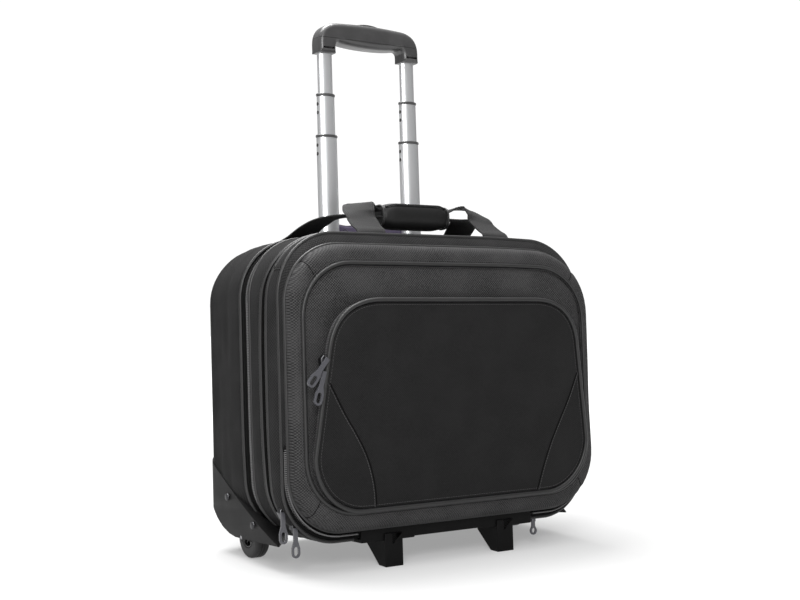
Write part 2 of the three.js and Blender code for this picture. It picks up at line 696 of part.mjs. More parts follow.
const sides = [['left', -1], ['right', 1]];
for (const [side, sign] of sides) {
  const placed = (geometry) => (sign < 0 ? mirrored(geometry) : geometry);
  add(`foot_${side}`, foot(sign * FOOT.x), PLASTIC, 0.5);
  add(`wheel_guard_${side}`, placed(wheelGuard()), PLASTIC, 0.45);
  for (const [place, spot] of Object.entries(SCREWS)) {
    add(`guard_screw_${place}_${side}`, placed(guardScrew(spot)), TRIM, 0.4, 0.6);
  }
  add(`wheel_axle_${side}`, placed(wheelAxle()), ALUMINIUM, 0.35, 1);
  add(`wheel_tyre_${side}`, placed(wheelTyre()), TRIM, 0.6);
  add(`wheel_hub_${side}`, placed(wheelHub()), PLASTIC, 0.5);
  add(`outer_tube_${side}`, tube(sign * TUBE.x, STAGES.outer), ALUMINIUM, 0.35, 1);
  add(`lower_stage_tube_${side}`, tube(sign * TUBE.x, STAGES.lower, true), ALUMINIUM, 0.35, 1);
  add(`lower_stage_collar_${side}`, collar(sign * TUBE.x, STAGES.lower), TRIM, 0.5);
  add(`middle_stage_tube_${side}`, tube(sign * TUBE.x, STAGES.middle, true), ALUMINIUM, 0.35, 1);
  add(`middle_stage_collar_${side}`, collar(sign * TUBE.x, STAGES.middle), TRIM, 0.5);
  add(`upper_stage_tube_${side}`, tube(sign * TUBE.x, STAGES.upper), ALUMINIUM, 0.35, 1);
  add(`release_rod_${side}`, releaseRod(sign * TUBE.x), ALUMINIUM, 0.5, 1);
}
add('grip_upper_shell', gripUpperShell(), PLASTIC, 0.4);
add('grip_lower_shell', gripLowerShell(), PLASTIC, 0.4);
add('release_button', releaseButton(), PLASTIC, 0.4);

add('lid_border', lidBorder(), FABRIC);
add('lid_inner_panel', lidInnerPanel(), FABRIC);
add('front_pocket', frontPocket(), FABRIC);

// Each slider carries a pull that swings about the y axis just in front of it.
const ZIPS = [
  { name: 'pocket_upper', x: -182.2, y: -24, z: 191, turn: -0.15, swing: 0.68, length: 36, front: 6.2 },
  { name: 'pocket_lower', x: -184.4, y: -24, z: 177, turn: -0.15, swing: 0.28, length: 36, front: 3.4 },
  { name: 'side_upper', y: 26, swing: 0, length: 33, front: GAP, ...cornerSpot(0.45) },
  { name: 'side_lower', y: 22, swing: 0, length: 31, front: GAP, ...cornerSpot(0.78) },
  { name: 'bottom_right', x: 132, y: 17, z: BODY.low - 3.2, turn: -Math.PI / 2, swing: 0, length: 18,
    front: GAP },
];
for (const { name, x, y, z, turn, swing, length, front } of ZIPS) {
  add(`${name}_slider`, zipSlider(x, y, z, turn), TRIM, 0.4, 0.7);
  const pull = add(`${name}_pull`, pullForm(length), PLASTIC, 0.35, 0.2);
  pull.position.set(x, y - SLIDER.wide / 2 - front - PULL.thick / 2, z);
  pull.rotation.y = swing;
}

// Lean the case back, then stand it with the centre of its footprint on the origin.
caseBody.rotation.x = -LEAN;
caseBody.updateMatrixWorld(true);
const bounds = new THREE.Box3().setFromObject(caseBody, true);
caseBody.position.set(
  -(bounds.min.x + bounds.max.x) / 2,
  -(bounds.min.y + bounds.max.y) / 2,
  -bounds.min.z,
);

const rollingCase = new THREE.Group();
rollingCase.add(caseBody);
export default rollingCase;
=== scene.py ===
"""The looks of a rolling laptop case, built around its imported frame.

Shapes are worked out in the case's own leaning frame, in millimetres: x runs across it, y runs
back from the front zip and z rises along it. They are carried to the row frame as they are made.
"""

import json
import logging
import math
from dataclasses import dataclass, field
from enum import Enum
from typing import Callable, Optional, Sequence, Union

import bmesh
import bpy
import numpy as np
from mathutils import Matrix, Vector
from mathutils.bvhtree import BVHTree


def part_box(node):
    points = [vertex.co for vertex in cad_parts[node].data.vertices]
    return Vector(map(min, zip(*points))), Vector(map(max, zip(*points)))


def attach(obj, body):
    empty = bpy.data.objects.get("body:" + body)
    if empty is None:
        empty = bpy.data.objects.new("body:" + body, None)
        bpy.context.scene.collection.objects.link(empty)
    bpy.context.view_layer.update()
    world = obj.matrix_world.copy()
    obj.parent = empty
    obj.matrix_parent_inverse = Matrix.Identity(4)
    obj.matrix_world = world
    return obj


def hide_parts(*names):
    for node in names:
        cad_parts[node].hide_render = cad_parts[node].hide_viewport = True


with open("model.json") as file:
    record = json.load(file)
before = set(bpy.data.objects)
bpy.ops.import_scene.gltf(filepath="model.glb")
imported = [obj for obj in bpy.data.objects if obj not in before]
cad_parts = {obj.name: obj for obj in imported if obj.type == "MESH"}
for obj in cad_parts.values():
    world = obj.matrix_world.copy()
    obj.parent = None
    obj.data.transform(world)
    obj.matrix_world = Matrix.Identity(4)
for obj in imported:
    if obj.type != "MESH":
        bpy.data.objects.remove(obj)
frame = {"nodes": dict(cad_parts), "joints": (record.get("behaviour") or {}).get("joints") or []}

Array = np.ndarray
Colour = tuple[float, float, float, float]
Number = Union["Value", float]
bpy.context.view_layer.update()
LOG = logging.getLogger("rolling_case")
TURN = 2.0 * math.pi
FRONT_WARD = np.array((0.0, -1.0, 0.0))
CUBE_CORNERS = np.array([(a, b, c) for c in (-1, 1) for b in (-1, 1) for a in (-1, 1)], float) * 0.5
CUBE_FACES = np.array([(0, 2, 3, 1), (4, 5, 7, 6), (0, 1, 5, 4), (2, 6, 7, 3), (0, 4, 6, 2),
                       (1, 3, 7, 5)])


# ---- The case's own frame ---------------------------------------------------------------------


class CaseFrame:
    """The leaning frame of the case, taken from the joints that are fixed in it."""

    def __init__(self, joints: Sequence[dict]) -> None:
        """Reads the lean from the pull handle's slide and the origin from the lid's hinge.

        Args:
            joints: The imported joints.
        """
        named = {joint["name"]: joint for joint in joints}
        up = np.array(named["lower_stage_slide"]["axis"], float)
        self.up = up / np.linalg.norm(up)
        self.across = np.array((1.0, 0.0, 0.0))
        self.back = np.cross(self.up, self.across)
        self.origin = np.array(named["lid_hinge"]["pos_m"], float) + 0.001 * self.up

    def world(self, points: Array) -> Array:
        """Carries points from case millimetres to row metres.

        Args:
            points: Any array whose last axis is x, y, z.

        Returns:
            The same points in the row frame.
        """
        axes = np.stack([self.across, self.back, self.up])
        return self.origin + 0.001 * (np.asarray(points, float) @ axes)

    def local(self, points: Array) -> Array:
        """Carries row metres back to case millimetres, by the transpose of the same axes."""
        axes = np.stack([self.across, self.back, self.up])
        return 1000.0 * ((np.asarray(points, float) - self.origin) @ axes.T)


CASE = CaseFrame(frame["joints"])


# ---- Shader graphs ----------------------------------------------------------------------------


class Value:
    """A shader socket that adds Math nodes when it is used in an expression."""

    def __init__(self, graph: "Graph", socket: bpy.types.NodeSocket) -> None:
        """Keeps the socket and the graph that it belongs to."""
        self.graph = graph
        self.socket = socket

    def _math(self, operation: str, first: Number, second: Number) -> "Value":
        """Adds one Math node and gives its result."""
        return self.graph.node("ShaderNodeMath", {"operation": operation}, {0: first, 1: second})

    def __add__(self, other: Number) -> "Value":
        """Sum."""
        return self._math("ADD", self, other)

    def __radd__(self, other: Number) -> "Value":
        """Sum with the number first."""
        return self._math("ADD", other, self)

    def __sub__(self, other: Number) -> "Value":
        """Difference."""
        return self._math("SUBTRACT", self, other)

    def __rsub__(self, other: Number) -> "Value":
        """Difference with the number first."""
        return self._math("SUBTRACT", other, self)

    def __mul__(self, other: Number) -> "Value":
        """Product."""
        return self._math("MULTIPLY", self, other)

    def __rmul__(self, other: Number) -> "Value":
        """Product with the number first."""
        return self._math("MULTIPLY", other, self)

    def __truediv__(self, other: Number) -> "Value":
        """Quotient."""
        return self._math("DIVIDE", self, other)

    def __rtruediv__(self, other: Number) -> "Value":
        """Quotient with the number first."""
        return self._math("DIVIDE", other, self)

    def __pow__(self, other: Number) -> "Value":
        """Power."""
        return self._math("POWER", self, other)

    def __abs__(self) -> "Value":
        """Size without its sign."""
        return self._math("ABSOLUTE", self, 0.0)

    def sine(self) -> "Value":
        """Sine of the value in radians."""
        return self._math("SINE", self, 0.0)

    def part(self, axis: int) -> "Value":
        """One of the three parts of a vector."""
        return self.graph.node("ShaderNodeSeparateXYZ", {}, {0: self}, axis)


class Graph:
    """The node tree of one material."""

    def __init__(self, name: str) -> None:
        """Makes an empty material.

        Args:
            name: The material's name.
        """
        self.material = bpy.data.materials.new(name)
        self.material.use_nodes = True
        self.tree = self.material.node_tree
        self.tree.nodes.clear()

    def node(self, kind: str, settings: dict, inputs: dict, output: int = 0) -> Value:
        """Adds a node.

        Args:
            kind: The node's type.
            settings: Its settings.
            inputs: Values or links of its sockets, by name or number.
            output: Which of its outputs is wanted.

        Returns:
            The wanted output.
        """
        made = self.tree.nodes.new(kind)
        for name, value in settings.items():
            setattr(made, name, value)
        for key, value in inputs.items():
            if isinstance(value, Value):
                self.tree.links.new(value.socket, made.inputs[key])
            else:
                made.inputs[key].default_value = value
        return Value(self, made.outputs[output])

    def mix(self, factor: Number, first: Union[Value, Colour],
            second: Union[Value, Colour]) -> Value:
        """Mixes two colours by a factor from 0 to 1."""
        inputs = {0: factor, 6: first, 7: second}
        return self.node("ShaderNodeMix", {"data_type": "RGBA"}, inputs, 2)

    def noise(self, vector: Value, scale: float, detail: float = 2.0) -> Value:
        """Cloudy noise from 0 to 1 on a vector in metres."""
        inputs = {"Vector": vector, "Scale": scale, "Detail": detail, "Roughness": 0.55}
        return self.node("ShaderNodeTexNoise", {}, inputs)

    def stretched(self, vector: Value, factors: tuple[float, float, float]) -> Value:
        """A vector multiplied part by part."""
        return self.node("ShaderNodeVectorMath", {"operation": "MULTIPLY"}, {0: vector, 1: factors})

    def clamped(self, value: Number, low: float, high: float) -> Value:
        """A value moved from the range low to high onto 0 to 1, smoothly."""
        settings = {"interpolation_type": "SMOOTHSTEP", "clamp": True}
        return self.node("ShaderNodeMapRange", settings, {0: value, 1: low, 2: high})

    def place(self, mapped: "Layout") -> Value:
        """The vector that a pattern lies on: the piece's own UV map or its Object coordinates."""
        output = 2 if mapped is Layout.CLOTH else 3
        return self.node("ShaderNodeTexCoord", {}, {}, output)

    def close(self, base: Union[Value, Colour], roughness: Number, height: Optional[Value] = None,
              relief: float = 0.0, metallic: float = 0.0, **constants: float) -> bpy.types.Material:
        """Ends the graph in a shader.

        Args:
            base: Base colour.
            roughness: Roughness, which may vary.
            height: What the Bump node reads, if the surface has relief.
            relief: The height of the relief in metres.
            metallic: 1 for a metal.
            **constants: Values for the shader's other sockets, with _ for a space.

        Returns:
            The finished material.
        """
        inputs: dict = {"Base Color": base, "Roughness": roughness, "Metallic": metallic}
        inputs.update({key.replace("_", " "): value for key, value in constants.items()})
        if height is not None:
            bump = {"Strength": 1.0, "Distance": relief, "Height": height}
            inputs["Normal"] = self.node("ShaderNodeBump", {}, bump)
        shader = self.node("ShaderNodeBsdfPrincipled", {}, inputs)
        end = self.tree.nodes.new("ShaderNodeOutputMaterial")
        self.tree.links.new(shader.socket, end.inputs["Surface"])
        return self.material


class Layout(Enum):
    """How a pattern lies on a piece."""

    CLOTH = "along the piece's own lengths"
    FRONT = "straight through from the front"


def grey(level: float, tint: tuple[float, float, float] = (1.0, 0.985, 1.0)) -> Colour:
    """A nearly neutral colour of a linear level."""
    return (level * tint[0], level * tint[1], level * tint[2], 1.0)


def scaled(colour: Colour, factor: float) -> Colour:
    """A colour multiplied by a factor, with no part above 1."""
    r, g, b, _ = colour
    return (min(1.0, r * factor), min(1.0, g * factor), min(1.0, b * factor), 1.0)


@dataclass(frozen=True)
class Woven:
    """Coated polyester cloth in a basket weave, with uneven threads and a dusty bloom."""

    name: str
    level: float
    layout: Layout
    thread: float = 0.0013
    contrast: float = 0.8
    roughness: float = 0.62
    relief: float = 0.00022
    shine: float = 0.10

    def material(self) -> bpy.types.Material:
        """Height is half of one plus the product of a sine across each set of threads."""
        g = Graph(self.name)
        place = g.place(self.layout)
        first = place.part(0)
        second = place.part(1) if self.layout is Layout.CLOTH else place.part(2)
        turn = math.pi / self.thread
        uneven = g.noise(place, 260.0, 1.0) * 1.6
        warp = (first * turn + uneven).sine()
        weft = (second * turn + uneven).sine()
        weave = 0.5 + 0.5 * warp * weft
        speckle = g.noise(place, 620.0, 2.0)
        cloud = g.noise(place, 24.0, 3.0)
        lit = g.clamped(weave * 0.55 + speckle * 0.6, 0.28, 0.95)
        dark = grey(self.level * (1.0 - self.contrast))
        light = grey(self.level * (1.0 + self.contrast))
        worn = g.mix(g.clamped(cloud, 0.3, 0.75) * 0.35, g.mix(lit, dark, light), light)
        height = weave * 0.8 + speckle * 0.5
        return g.close(worn, self.roughness + 0.16 * speckle, height, self.relief,
                       Sheen_Weight=0.015, Sheen_Roughness=0.5, Specular_IOR_Level=self.shine)


@dataclass(frozen=True)
class Webbing:
    """Flat strap webbing with ribs across its width and a herringbone along its length."""

    name: str
    level: float
    rib: float = 0.0016

    def material(self) -> bpy.types.Material:
        """Height is a sine along the strap whose phase shifts with the place across it."""
        g = Graph(self.name)
        place = g.place(Layout.CLOTH)
        across, along = place.part(0), place.part(1)
        turn = TURN / self.rib
        slant = abs((across * (TURN / 0.0052)).sine()) * 2.2
        rib = 0.5 + 0.5 * (along * turn + slant).sine()
        fleck = g.noise(place, 700.0, 2.0)
        tone = g.clamped(rib * 0.6 + fleck * 0.6, 0.25, 1.0)
        base = g.mix(tone, grey(self.level * 0.5), grey(self.level * 1.5))
        return g.close(base, 0.55 + 0.2 * fleck, rib * 0.8 + fleck * 0.3, 0.0003,
                       Sheen_Weight=0.03, Specular_IOR_Level=0.2)


@dataclass(frozen=True)
class Cloth:
    """Plain fine cloth or nylon, such as tape, piping, lining and the handle's sleeve."""

    name: str
    colour: Colour
    roughness: float = 0.6
    sheen: float = 0.15
    relief: float = 0.00012
    shine: float = 0.22

    def material(self) -> bpy.types.Material:
        """Fine grain at thread size over slow clouds of tone."""
        g = Graph(self.name)
        place = g.place(Layout.FRONT)
        grain = g.noise(place, 1100.0, 2.0)
        cloud = g.noise(place, 38.0, 2.0)
        tone = g.clamped(grain * 0.6 + cloud * 0.5, 0.3, 0.8)
        base = g.mix(tone, scaled(self.colour, 0.75), scaled(self.colour, 1.25))
        return g.close(base, self.roughness + 0.15 * grain, grain, self.relief,
                       Sheen_Weight=0.2 * self.sheen, Specular_IOR_Level=self.shine)


@dataclass(frozen=True)
class Moulded:
    """Injection moulded plastic with a fine spark texture and slightly polished patches."""

    name: str
    level: float
    roughness: float = 0.42
    grain: float = 1500.0
    relief: float = 0.00004
    specular: float = 0.5

    def material(self) -> bpy.types.Material:
        """Grain from fine noise, with roughness that drifts over a few centimetres."""
        g = Graph(self.name)
        place = g.place(Layout.FRONT)
        grain = g.noise(place, self.grain, 2.0)
        drift = g.noise(place, 45.0, 3.0)
        base = g.mix(g.clamped(drift, 0.3, 0.75), grey(self.level * 0.82), grey(self.level * 1.2))
        return g.close(base, self.roughness - 0.08 + 0.2 * drift, grain, self.relief,
                       Specular_IOR_Level=self.specular)


@dataclass(frozen=True)
class Metal:
    """Drawn or plated metal with faint lines along its length."""

    name: str
    colour: Colour
    roughness: float = 0.3
    lines: float = 900.0
    metallic: float = 1.0

    def material(self) -> bpy.types.Material:
        """Noise squeezed across the length and drawn out along it moves tone and roughness."""
        g = Graph(self.name)
        place = g.place(Layout.FRONT)
        drawn = g.noise(g.stretched(place, (1.0, 1.0, 0.02)), self.lines, 2.0)
        smear = g.noise(place, 30.0, 3.0)
        tone = g.clamped(drawn * 0.6 + smear * 0.4, 0.3, 0.7)
        base = g.mix(tone, scaled(self.colour, 0.9), scaled(self.colour, 1.06))
        return g.close(base, self.roughness - 0.05 + 0.16 * drawn, drawn, 0.00001,
                       metallic=self.metallic)


class Finish(Enum):
    """Every finish on the case, each made once when it is first asked for."""

    FRONT_CLOTH = Woven("front_cloth", 0.032, Layout.FRONT, contrast=0.92, thread=0.0016)
    POCKET_CLOTH = Woven("pocket_cloth", 0.010, Layout.FRONT, contrast=0.55, thread=0.0013)
    # The same coated cloth as FRONT_CLOTH, its weave laid along each piece, at well under half its
    # level: the lower level is painted shade on the gusset band, rear shell, zip flap and other
    # side walls.
    SIDE_CLOTH = Woven("shaded_side_cloth", 0.014, Layout.CLOTH, thread=0.0018, contrast=0.9,
                       shine=0.05)
    WEBBING = Webbing("strap_webbing", 0.015)
    PIPING = Cloth("piping_tape", grey(0.008), 0.40, 0.1, shine=0.5)
    ZIP_TAPE = Cloth("zip_tape", grey(0.003), 0.7, 0.1, 0.0002, 0.06)
    SLEEVE = Cloth("sleeve_nylon", grey(0.005), 0.40, 0.1, 0.00008, 0.3)
    LINING = Cloth("lilac_lining", (0.066, 0.054, 0.090, 1.0), 0.55, 0.3, 0.0002)
    THREAD = Cloth("stitch_thread", grey(0.045), 0.55, 0.2)
    # Near-black cloth for thin ropes along the lid's mitres and the pocket's shaped seams: painted
    # shade in the seams' creases.
    DARK_SEAM = Cloth("seam_crease_shade", grey(0.003), 0.8, 0.05, shine=0.05)
    COIL = Moulded("zip_coil", 0.10, 0.32, 2200.0, 0.00003, 0.6)
    GUARD = Moulded("guard_plastic", 0.008, 0.46, specular=0.10)
    RAIL = Moulded("rail_plastic", 0.0045, 0.40, specular=0.08)
    GRIP = Moulded("grip_plastic", 0.040, 0.34, 1800.0, 0.00003, 0.6)
    PULL = Moulded("pull_plastic", 0.018, 0.26, 1200.0, 0.00001, 0.65)
    BOARD = Moulded("board_plastic", 0.020, 0.6)
    TYRE = Moulded("tyre_rubber", 0.012, 0.55, 1600.0, 0.00006)
    HUB = Moulded("hub_plastic", 0.014, 0.4)
    TUBE = Metal("tube_aluminium", (0.95, 0.952, 0.955, 1.0), 0.34, metallic=0.12)
    SLIDER = Metal("black_nickel", (0.10, 0.10, 0.105, 1.0), 0.3)
    STEEL = Metal("axle_steel", (0.30, 0.30, 0.31, 1.0), 0.32)
    SCREW = Metal("dark_screw", (0.055, 0.055, 0.058, 1.0), 0.38)

    def dress(self) -> bpy.types.Material:
        """The finish's material, made on first use."""
        found = bpy.data.materials.get(self.value.name)
        return found or self.value.material()


# ---- Surfaces ---------------------------------------------------------------------------------


@dataclass
class Shape:
    """Points in case millimetres, blocks of faces with equal sides, and each corner's UV."""

    points: Array
    faces: list[Array]
    uvs: list[Array]

    def __add__(self, other: "Shape") -> "Shape":
        """Both shapes as one, without joining their edges."""
        moved = [block + len(self.points) for block in other.faces]
        points = np.concatenate([self.points, other.points])
        return Shape(points, self.faces + moved, self.uvs + other.uvs)


def joined(shapes: Sequence[Shape]) -> Shape:
    """Several shapes as one."""
    total = shapes[0]
    for shape in shapes[1:]:
        total = total + shape
    return total


def boxes(centres: Array, axes: Array) -> Shape:
    """A six-sided block round each centre, from its three edge vectors."""
    points = centres[:, None] + np.einsum("kc,ncd->nkd", CUBE_CORNERS, axes)
    faces = (np.arange(len(centres))[:, None, None] * 8 + CUBE_FACES[None]).reshape(-1, 4)
    return Shape(points.reshape(-1, 3), [faces], [np.zeros((len(faces), 4, 2))])


def unit(vectors: Array) -> Array:
    """Vectors divided by their lengths."""
    return vectors / np.maximum(np.linalg.norm(vectors, axis=-1, keepdims=True), 1e-9)


def smooth(values: Array, low: float, high: float) -> Array:
    """Three t squared less two t cubed, where t runs from 0 at low to 1 at high."""
    t = np.clip((np.asarray(values, float) - low) / (high - low), 0.0, 1.0)
    return t * t * (3.0 - 2.0 * t)


def lengths(points: Array) -> Array:
    """Running distance along rows of points, averaged over the columns."""
    steps = np.linalg.norm(np.diff(points, axis=0), axis=-1)
    mean = steps.mean(axis=1) if steps.ndim > 1 else steps
    return np.concatenate([[0.0], np.cumsum(mean)])


def grid(points: Array, close_rows: bool = False, close_cols: bool = False,
         keep: Optional[Callable[[Array], Array]] = None, flip: bool = False,
         caps: bool = False) -> Shape:
    """A surface of quads over rows and columns of points.

    Args:
        points: Rows by columns by x, y, z.
        close_rows: Whether the last row joins the first.
        close_cols: Whether the last column joins the first.
        keep: Says from the quads' centres which of them stay.
        flip: Whether the faces turn over.
        caps: Whether the first and last rows are closed by one face each.

    Returns:
        The surface, with UVs in metres along its rows and columns.
    """
    rows, cols = points.shape[:2]
    whole = np.concatenate([points, points[:1]]) if close_rows else points
    whole = np.concatenate([whole, whole[:, :1]], axis=1) if close_cols else whole
    i, j = np.meshgrid(np.arange(whole.shape[0] - 1), np.arange(whole.shape[1] - 1), indexing="ij")
    corners = [(i, j), (i, j + 1), (i + 1, j + 1), (i + 1, j)]
    faces = np.stack([(a % rows) * cols + b % cols for a, b in corners], -1).reshape(-1, 4)
    along, across = lengths(whole), lengths(whole.transpose(1, 0, 2))
    uvs = np.stack([np.stack([across[b], along[a]], -1) for a, b in corners], -2).reshape(-1, 4, 2)
    if keep is not None:
        centre = np.stack([whole[a, b] for a, b in corners]).mean(0).reshape(-1, 3)
        chosen = keep(centre)
        faces, uvs = faces[chosen], uvs[chosen]
    blocks, maps = [faces], [uvs * 0.001]
    if caps:
        ends = np.stack([np.arange(cols)[::-1], (rows - 1) * cols + np.arange(cols)])
        flat = points.reshape(-1, 3)[ends][..., [0, 2]] * 0.001
        blocks.append(ends)
        maps.append(flat)
    if flip:
        blocks = [block[:, ::-1] for block in blocks]
        maps = [block[:, ::-1] for block in maps]
    return Shape(points.reshape(-1, 3), blocks, maps)


def sweep(path: Array, side: Array, lift: Array, profile: Array, closed: bool = False,
          scale: Optional[Array] = None) -> Shape:
    """A closed profile carried along a path.

    Each point is the path's point plus the profile's first number times the side direction and
    its second times the lift direction, times the scale there.

    Args:
        path: Points of the path.
        side: Direction of the profile's first axis at each point.
        lift: Direction of its second axis at each point.
        profile: Points of the section.
        closed: Whether the path joins up.
        scale: Two factors for each point of the path.

    Returns:
        The swept surface, with its ends closed unless the path joins up.
    """
    size = np.ones((len(path), 2)) if scale is None else scale
    first = profile[None, :, :1] * size[:, None, :1] * side[:, None]
    second = profile[None, :, 1:] * size[:, None, 1:] * lift[:, None]
    return grid(path[:, None] + first + second, close_rows=closed, close_cols=True, caps=not closed)


def circle(radius: float, sides: int = 8) -> Array:
    """Points round a circle."""
    angle = np.arange(sides) * TURN / sides
    return radius * np.stack([np.cos(angle), np.sin(angle)], -1)


def rope(path: Array, side: Array, radius: float, closed: bool = False, sides: int = 8) -> Shape:
    """A round section carried along a path, turned so that it follows the side direction."""
    tangent = tangents(path, closed)
    lift = unit(np.cross(tangent, side))
    return sweep(path, side, lift, circle(radius, sides)[::-1], closed)


def tangents(path: Array, closed: bool = False) -> Array:
    """Unit directions along a path, from each point's neighbours."""
    if closed:
        return unit(np.roll(path, -1, 0) - np.roll(path, 1, 0))
    return unit(np.gradient(path, axis=0))


def resample(path: Array, step: float, *others: Array, closed: bool = False) -> list[Array]:
    """Even points along a path, with other vectors carried to the same places."""
    whole = [np.concatenate([a, a[:1]]) if closed else a for a in (path, *others)]
    run = lengths(whole[0])
    count = max(2, int(round(run[-1] / step)) + (0 if closed else 1))
    at = np.linspace(0.0, run[-1], count, endpoint=not closed)
    return [np.stack([np.interp(at, run, a[:, k]) for k in range(3)], -1) for a in whole]


def blocks(path: Array, out: Array, pitch: float, size: tuple[float, float, float],
           closed: bool = False) -> Shape:
    """Small six-sided blocks repeated along a path, as zip teeth and as stitches.

    Args:
        path: Points of the path.
        out: Outward direction at each of them.
        pitch: Distance from one block to the next.
        size: Each block's length along the path, width across it and height.
        closed: Whether the path joins up.

    Returns:
        All of the blocks as one shape.
    """
    spot, lift = resample(path, pitch, out, closed=closed)
    run = tangents(spot, closed)
    wide = unit(np.cross(run, lift))
    return boxes(spot, np.stack([run * size[0], wide * size[1], unit(lift) * size[2]], 1))


def folds(points: Array, amount: float, scale: float, seed: int) -> Array:
    """Slack in cloth: the sum of seven sines along seeded directions, in millimetres."""
    source = np.random.default_rng(seed)
    ways = source.normal(size=(7, 3)) / scale
    start = source.uniform(0.0, TURN, 7)
    return amount * np.sin(points @ ways.T + start).sum(-1) / 2.6


def curve(knots: Sequence[tuple[float, float, float]], count: int) -> Array:
    """A smooth path through knots: cubic pieces whose slopes come from the neighbouring knots.

    Args:
        knots: The points that the path passes through.
        count: How many points to give.

    Returns:
        Points spaced evenly along the path.
    """
    p = np.array(knots, float)
    run = lengths(p)
    slope = np.gradient(p, run, axis=0)
    at = np.linspace(0.0, run[-1], count * 6)
    k = np.clip(np.searchsorted(run, at, "right") - 1, 0, len(p) - 2)
    span = (run[k + 1] - run[k])[:, None]
    t = (at - run[k])[:, None] / span
    h = [2 * t**3 - 3 * t**2 + 1, t**3 - 2 * t**2 + t, 3 * t**2 - 2 * t**3, t**3 - t**2]
    fine = h[0] * p[k] + h[1] * span * slope[k] + h[2] * p[k + 1] + h[3] * span * slope[k + 1]
    return resample(fine, lengths(fine)[-1] / (count - 1))[0]


# ---- Pieces -----------------------------------------------------------------------------------


def piece(name: str, shape: Shape, finish: Finish, body: str = "root",
          stands_for: Sequence[str] = (), thick: float = 0.0,
          sharp: float = 40.0) -> bpy.types.Object:
    """Makes a shape into a piece of the case.

    Args:
        name: The piece's name.
        shape: Its surface.
        finish: Its finish.
        body: The body that it rides on.
        stands_for: CAD nodes that it replaces.
        thick: Wall thickness added behind the surface, in millimetres.
        sharp: Angle in degrees above which an edge stays sharp.

    Returns:
        The new object.
    """
    mesh = bpy.data.meshes.new(name)
    faces = [face for block in shape.faces for face in block.tolist()]
    mesh.from_pydata(CASE.world(shape.points).tolist(), [], faces)
    layer = mesh.uv_layers.new(name="lengths")
    flat = np.concatenate([u.reshape(-1) for u in shape.uvs]).astype(np.float32)
    layer.data.foreach_set("uv", flat)
    mesh.polygons.foreach_set("use_smooth", np.ones(len(mesh.polygons), bool))
    mesh.set_sharp_from_angle(angle=math.radians(sharp))
    mesh.update()
    made = bpy.data.objects.new(name, mesh)
    bpy.context.scene.collection.objects.link(made)
    if thick:
        wall = made.modifiers.new("wall", "SOLIDIFY")
        wall.thickness = thick * 0.001
        wall.offset = -1.0
    return fit(made, finish, body, stands_for)


def fit(made: bpy.types.Object, finish: Finish, body: str,
        stands_for: Sequence[str] = ()) -> bpy.types.Object:
    """Dresses an object, sets the body that it rides on and logs it."""
    made.data.materials.clear()
    made.data.materials.append(finish.dress())
    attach(made, body)
    if stands_for:
        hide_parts(*stands_for)
    LOG.info("%s on %s: %d faces", made.name, body, len(made.data.polygons))
    return made


def refined(node: str, finish: Finish, body: str = "root",
            bevel: float = 0.5) -> bpy.types.Object:
    """A copy of a hard CAD part with its facets merged, its flats joined and its edges rounded.

    Args:
        node: The CAD node.
        finish: The finish.
        body: The body that it rides on.
        bevel: Width of the rounding, in millimetres.

    Returns:
        The new object, which replaces the node.
    """
    mesh = frame["nodes"][node].data.copy()
    work = bmesh.new()
    work.from_mesh(mesh)
    bmesh.ops.remove_doubles(work, verts=work.verts, dist=2e-5)
    bmesh.ops.dissolve_limit(work, angle_limit=math.radians(1.0), verts=work.verts,
                             edges=work.edges)
    work.to_mesh(mesh)
    work.free()
    made = bpy.data.objects.new(f"{node}_finished", mesh)
    bpy.context.scene.collection.objects.link(made)
    mesh.polygons.foreach_set("use_smooth", np.ones(len(mesh.polygons), bool))
    mesh.set_sharp_from_angle(angle=math.radians(38.0))
    if bevel:
        edge = made.modifiers.new("edge", "BEVEL")
        edge.width = bevel * 0.001
        edge.segments = 2
        edge.limit_method = "ANGLE"
        edge.angle_limit = math.radians(38.0)
        edge.harden_normals = False
    return fit(made, finish, body, [node])


def redress(finish: Finish, *nodes: str) -> None:
    """Gives CAD nodes whose shape is right a finish."""
    for node in nodes:
        mesh = frame["nodes"][node].data
        mesh.materials.clear()
        mesh.materials.append(finish.dress())


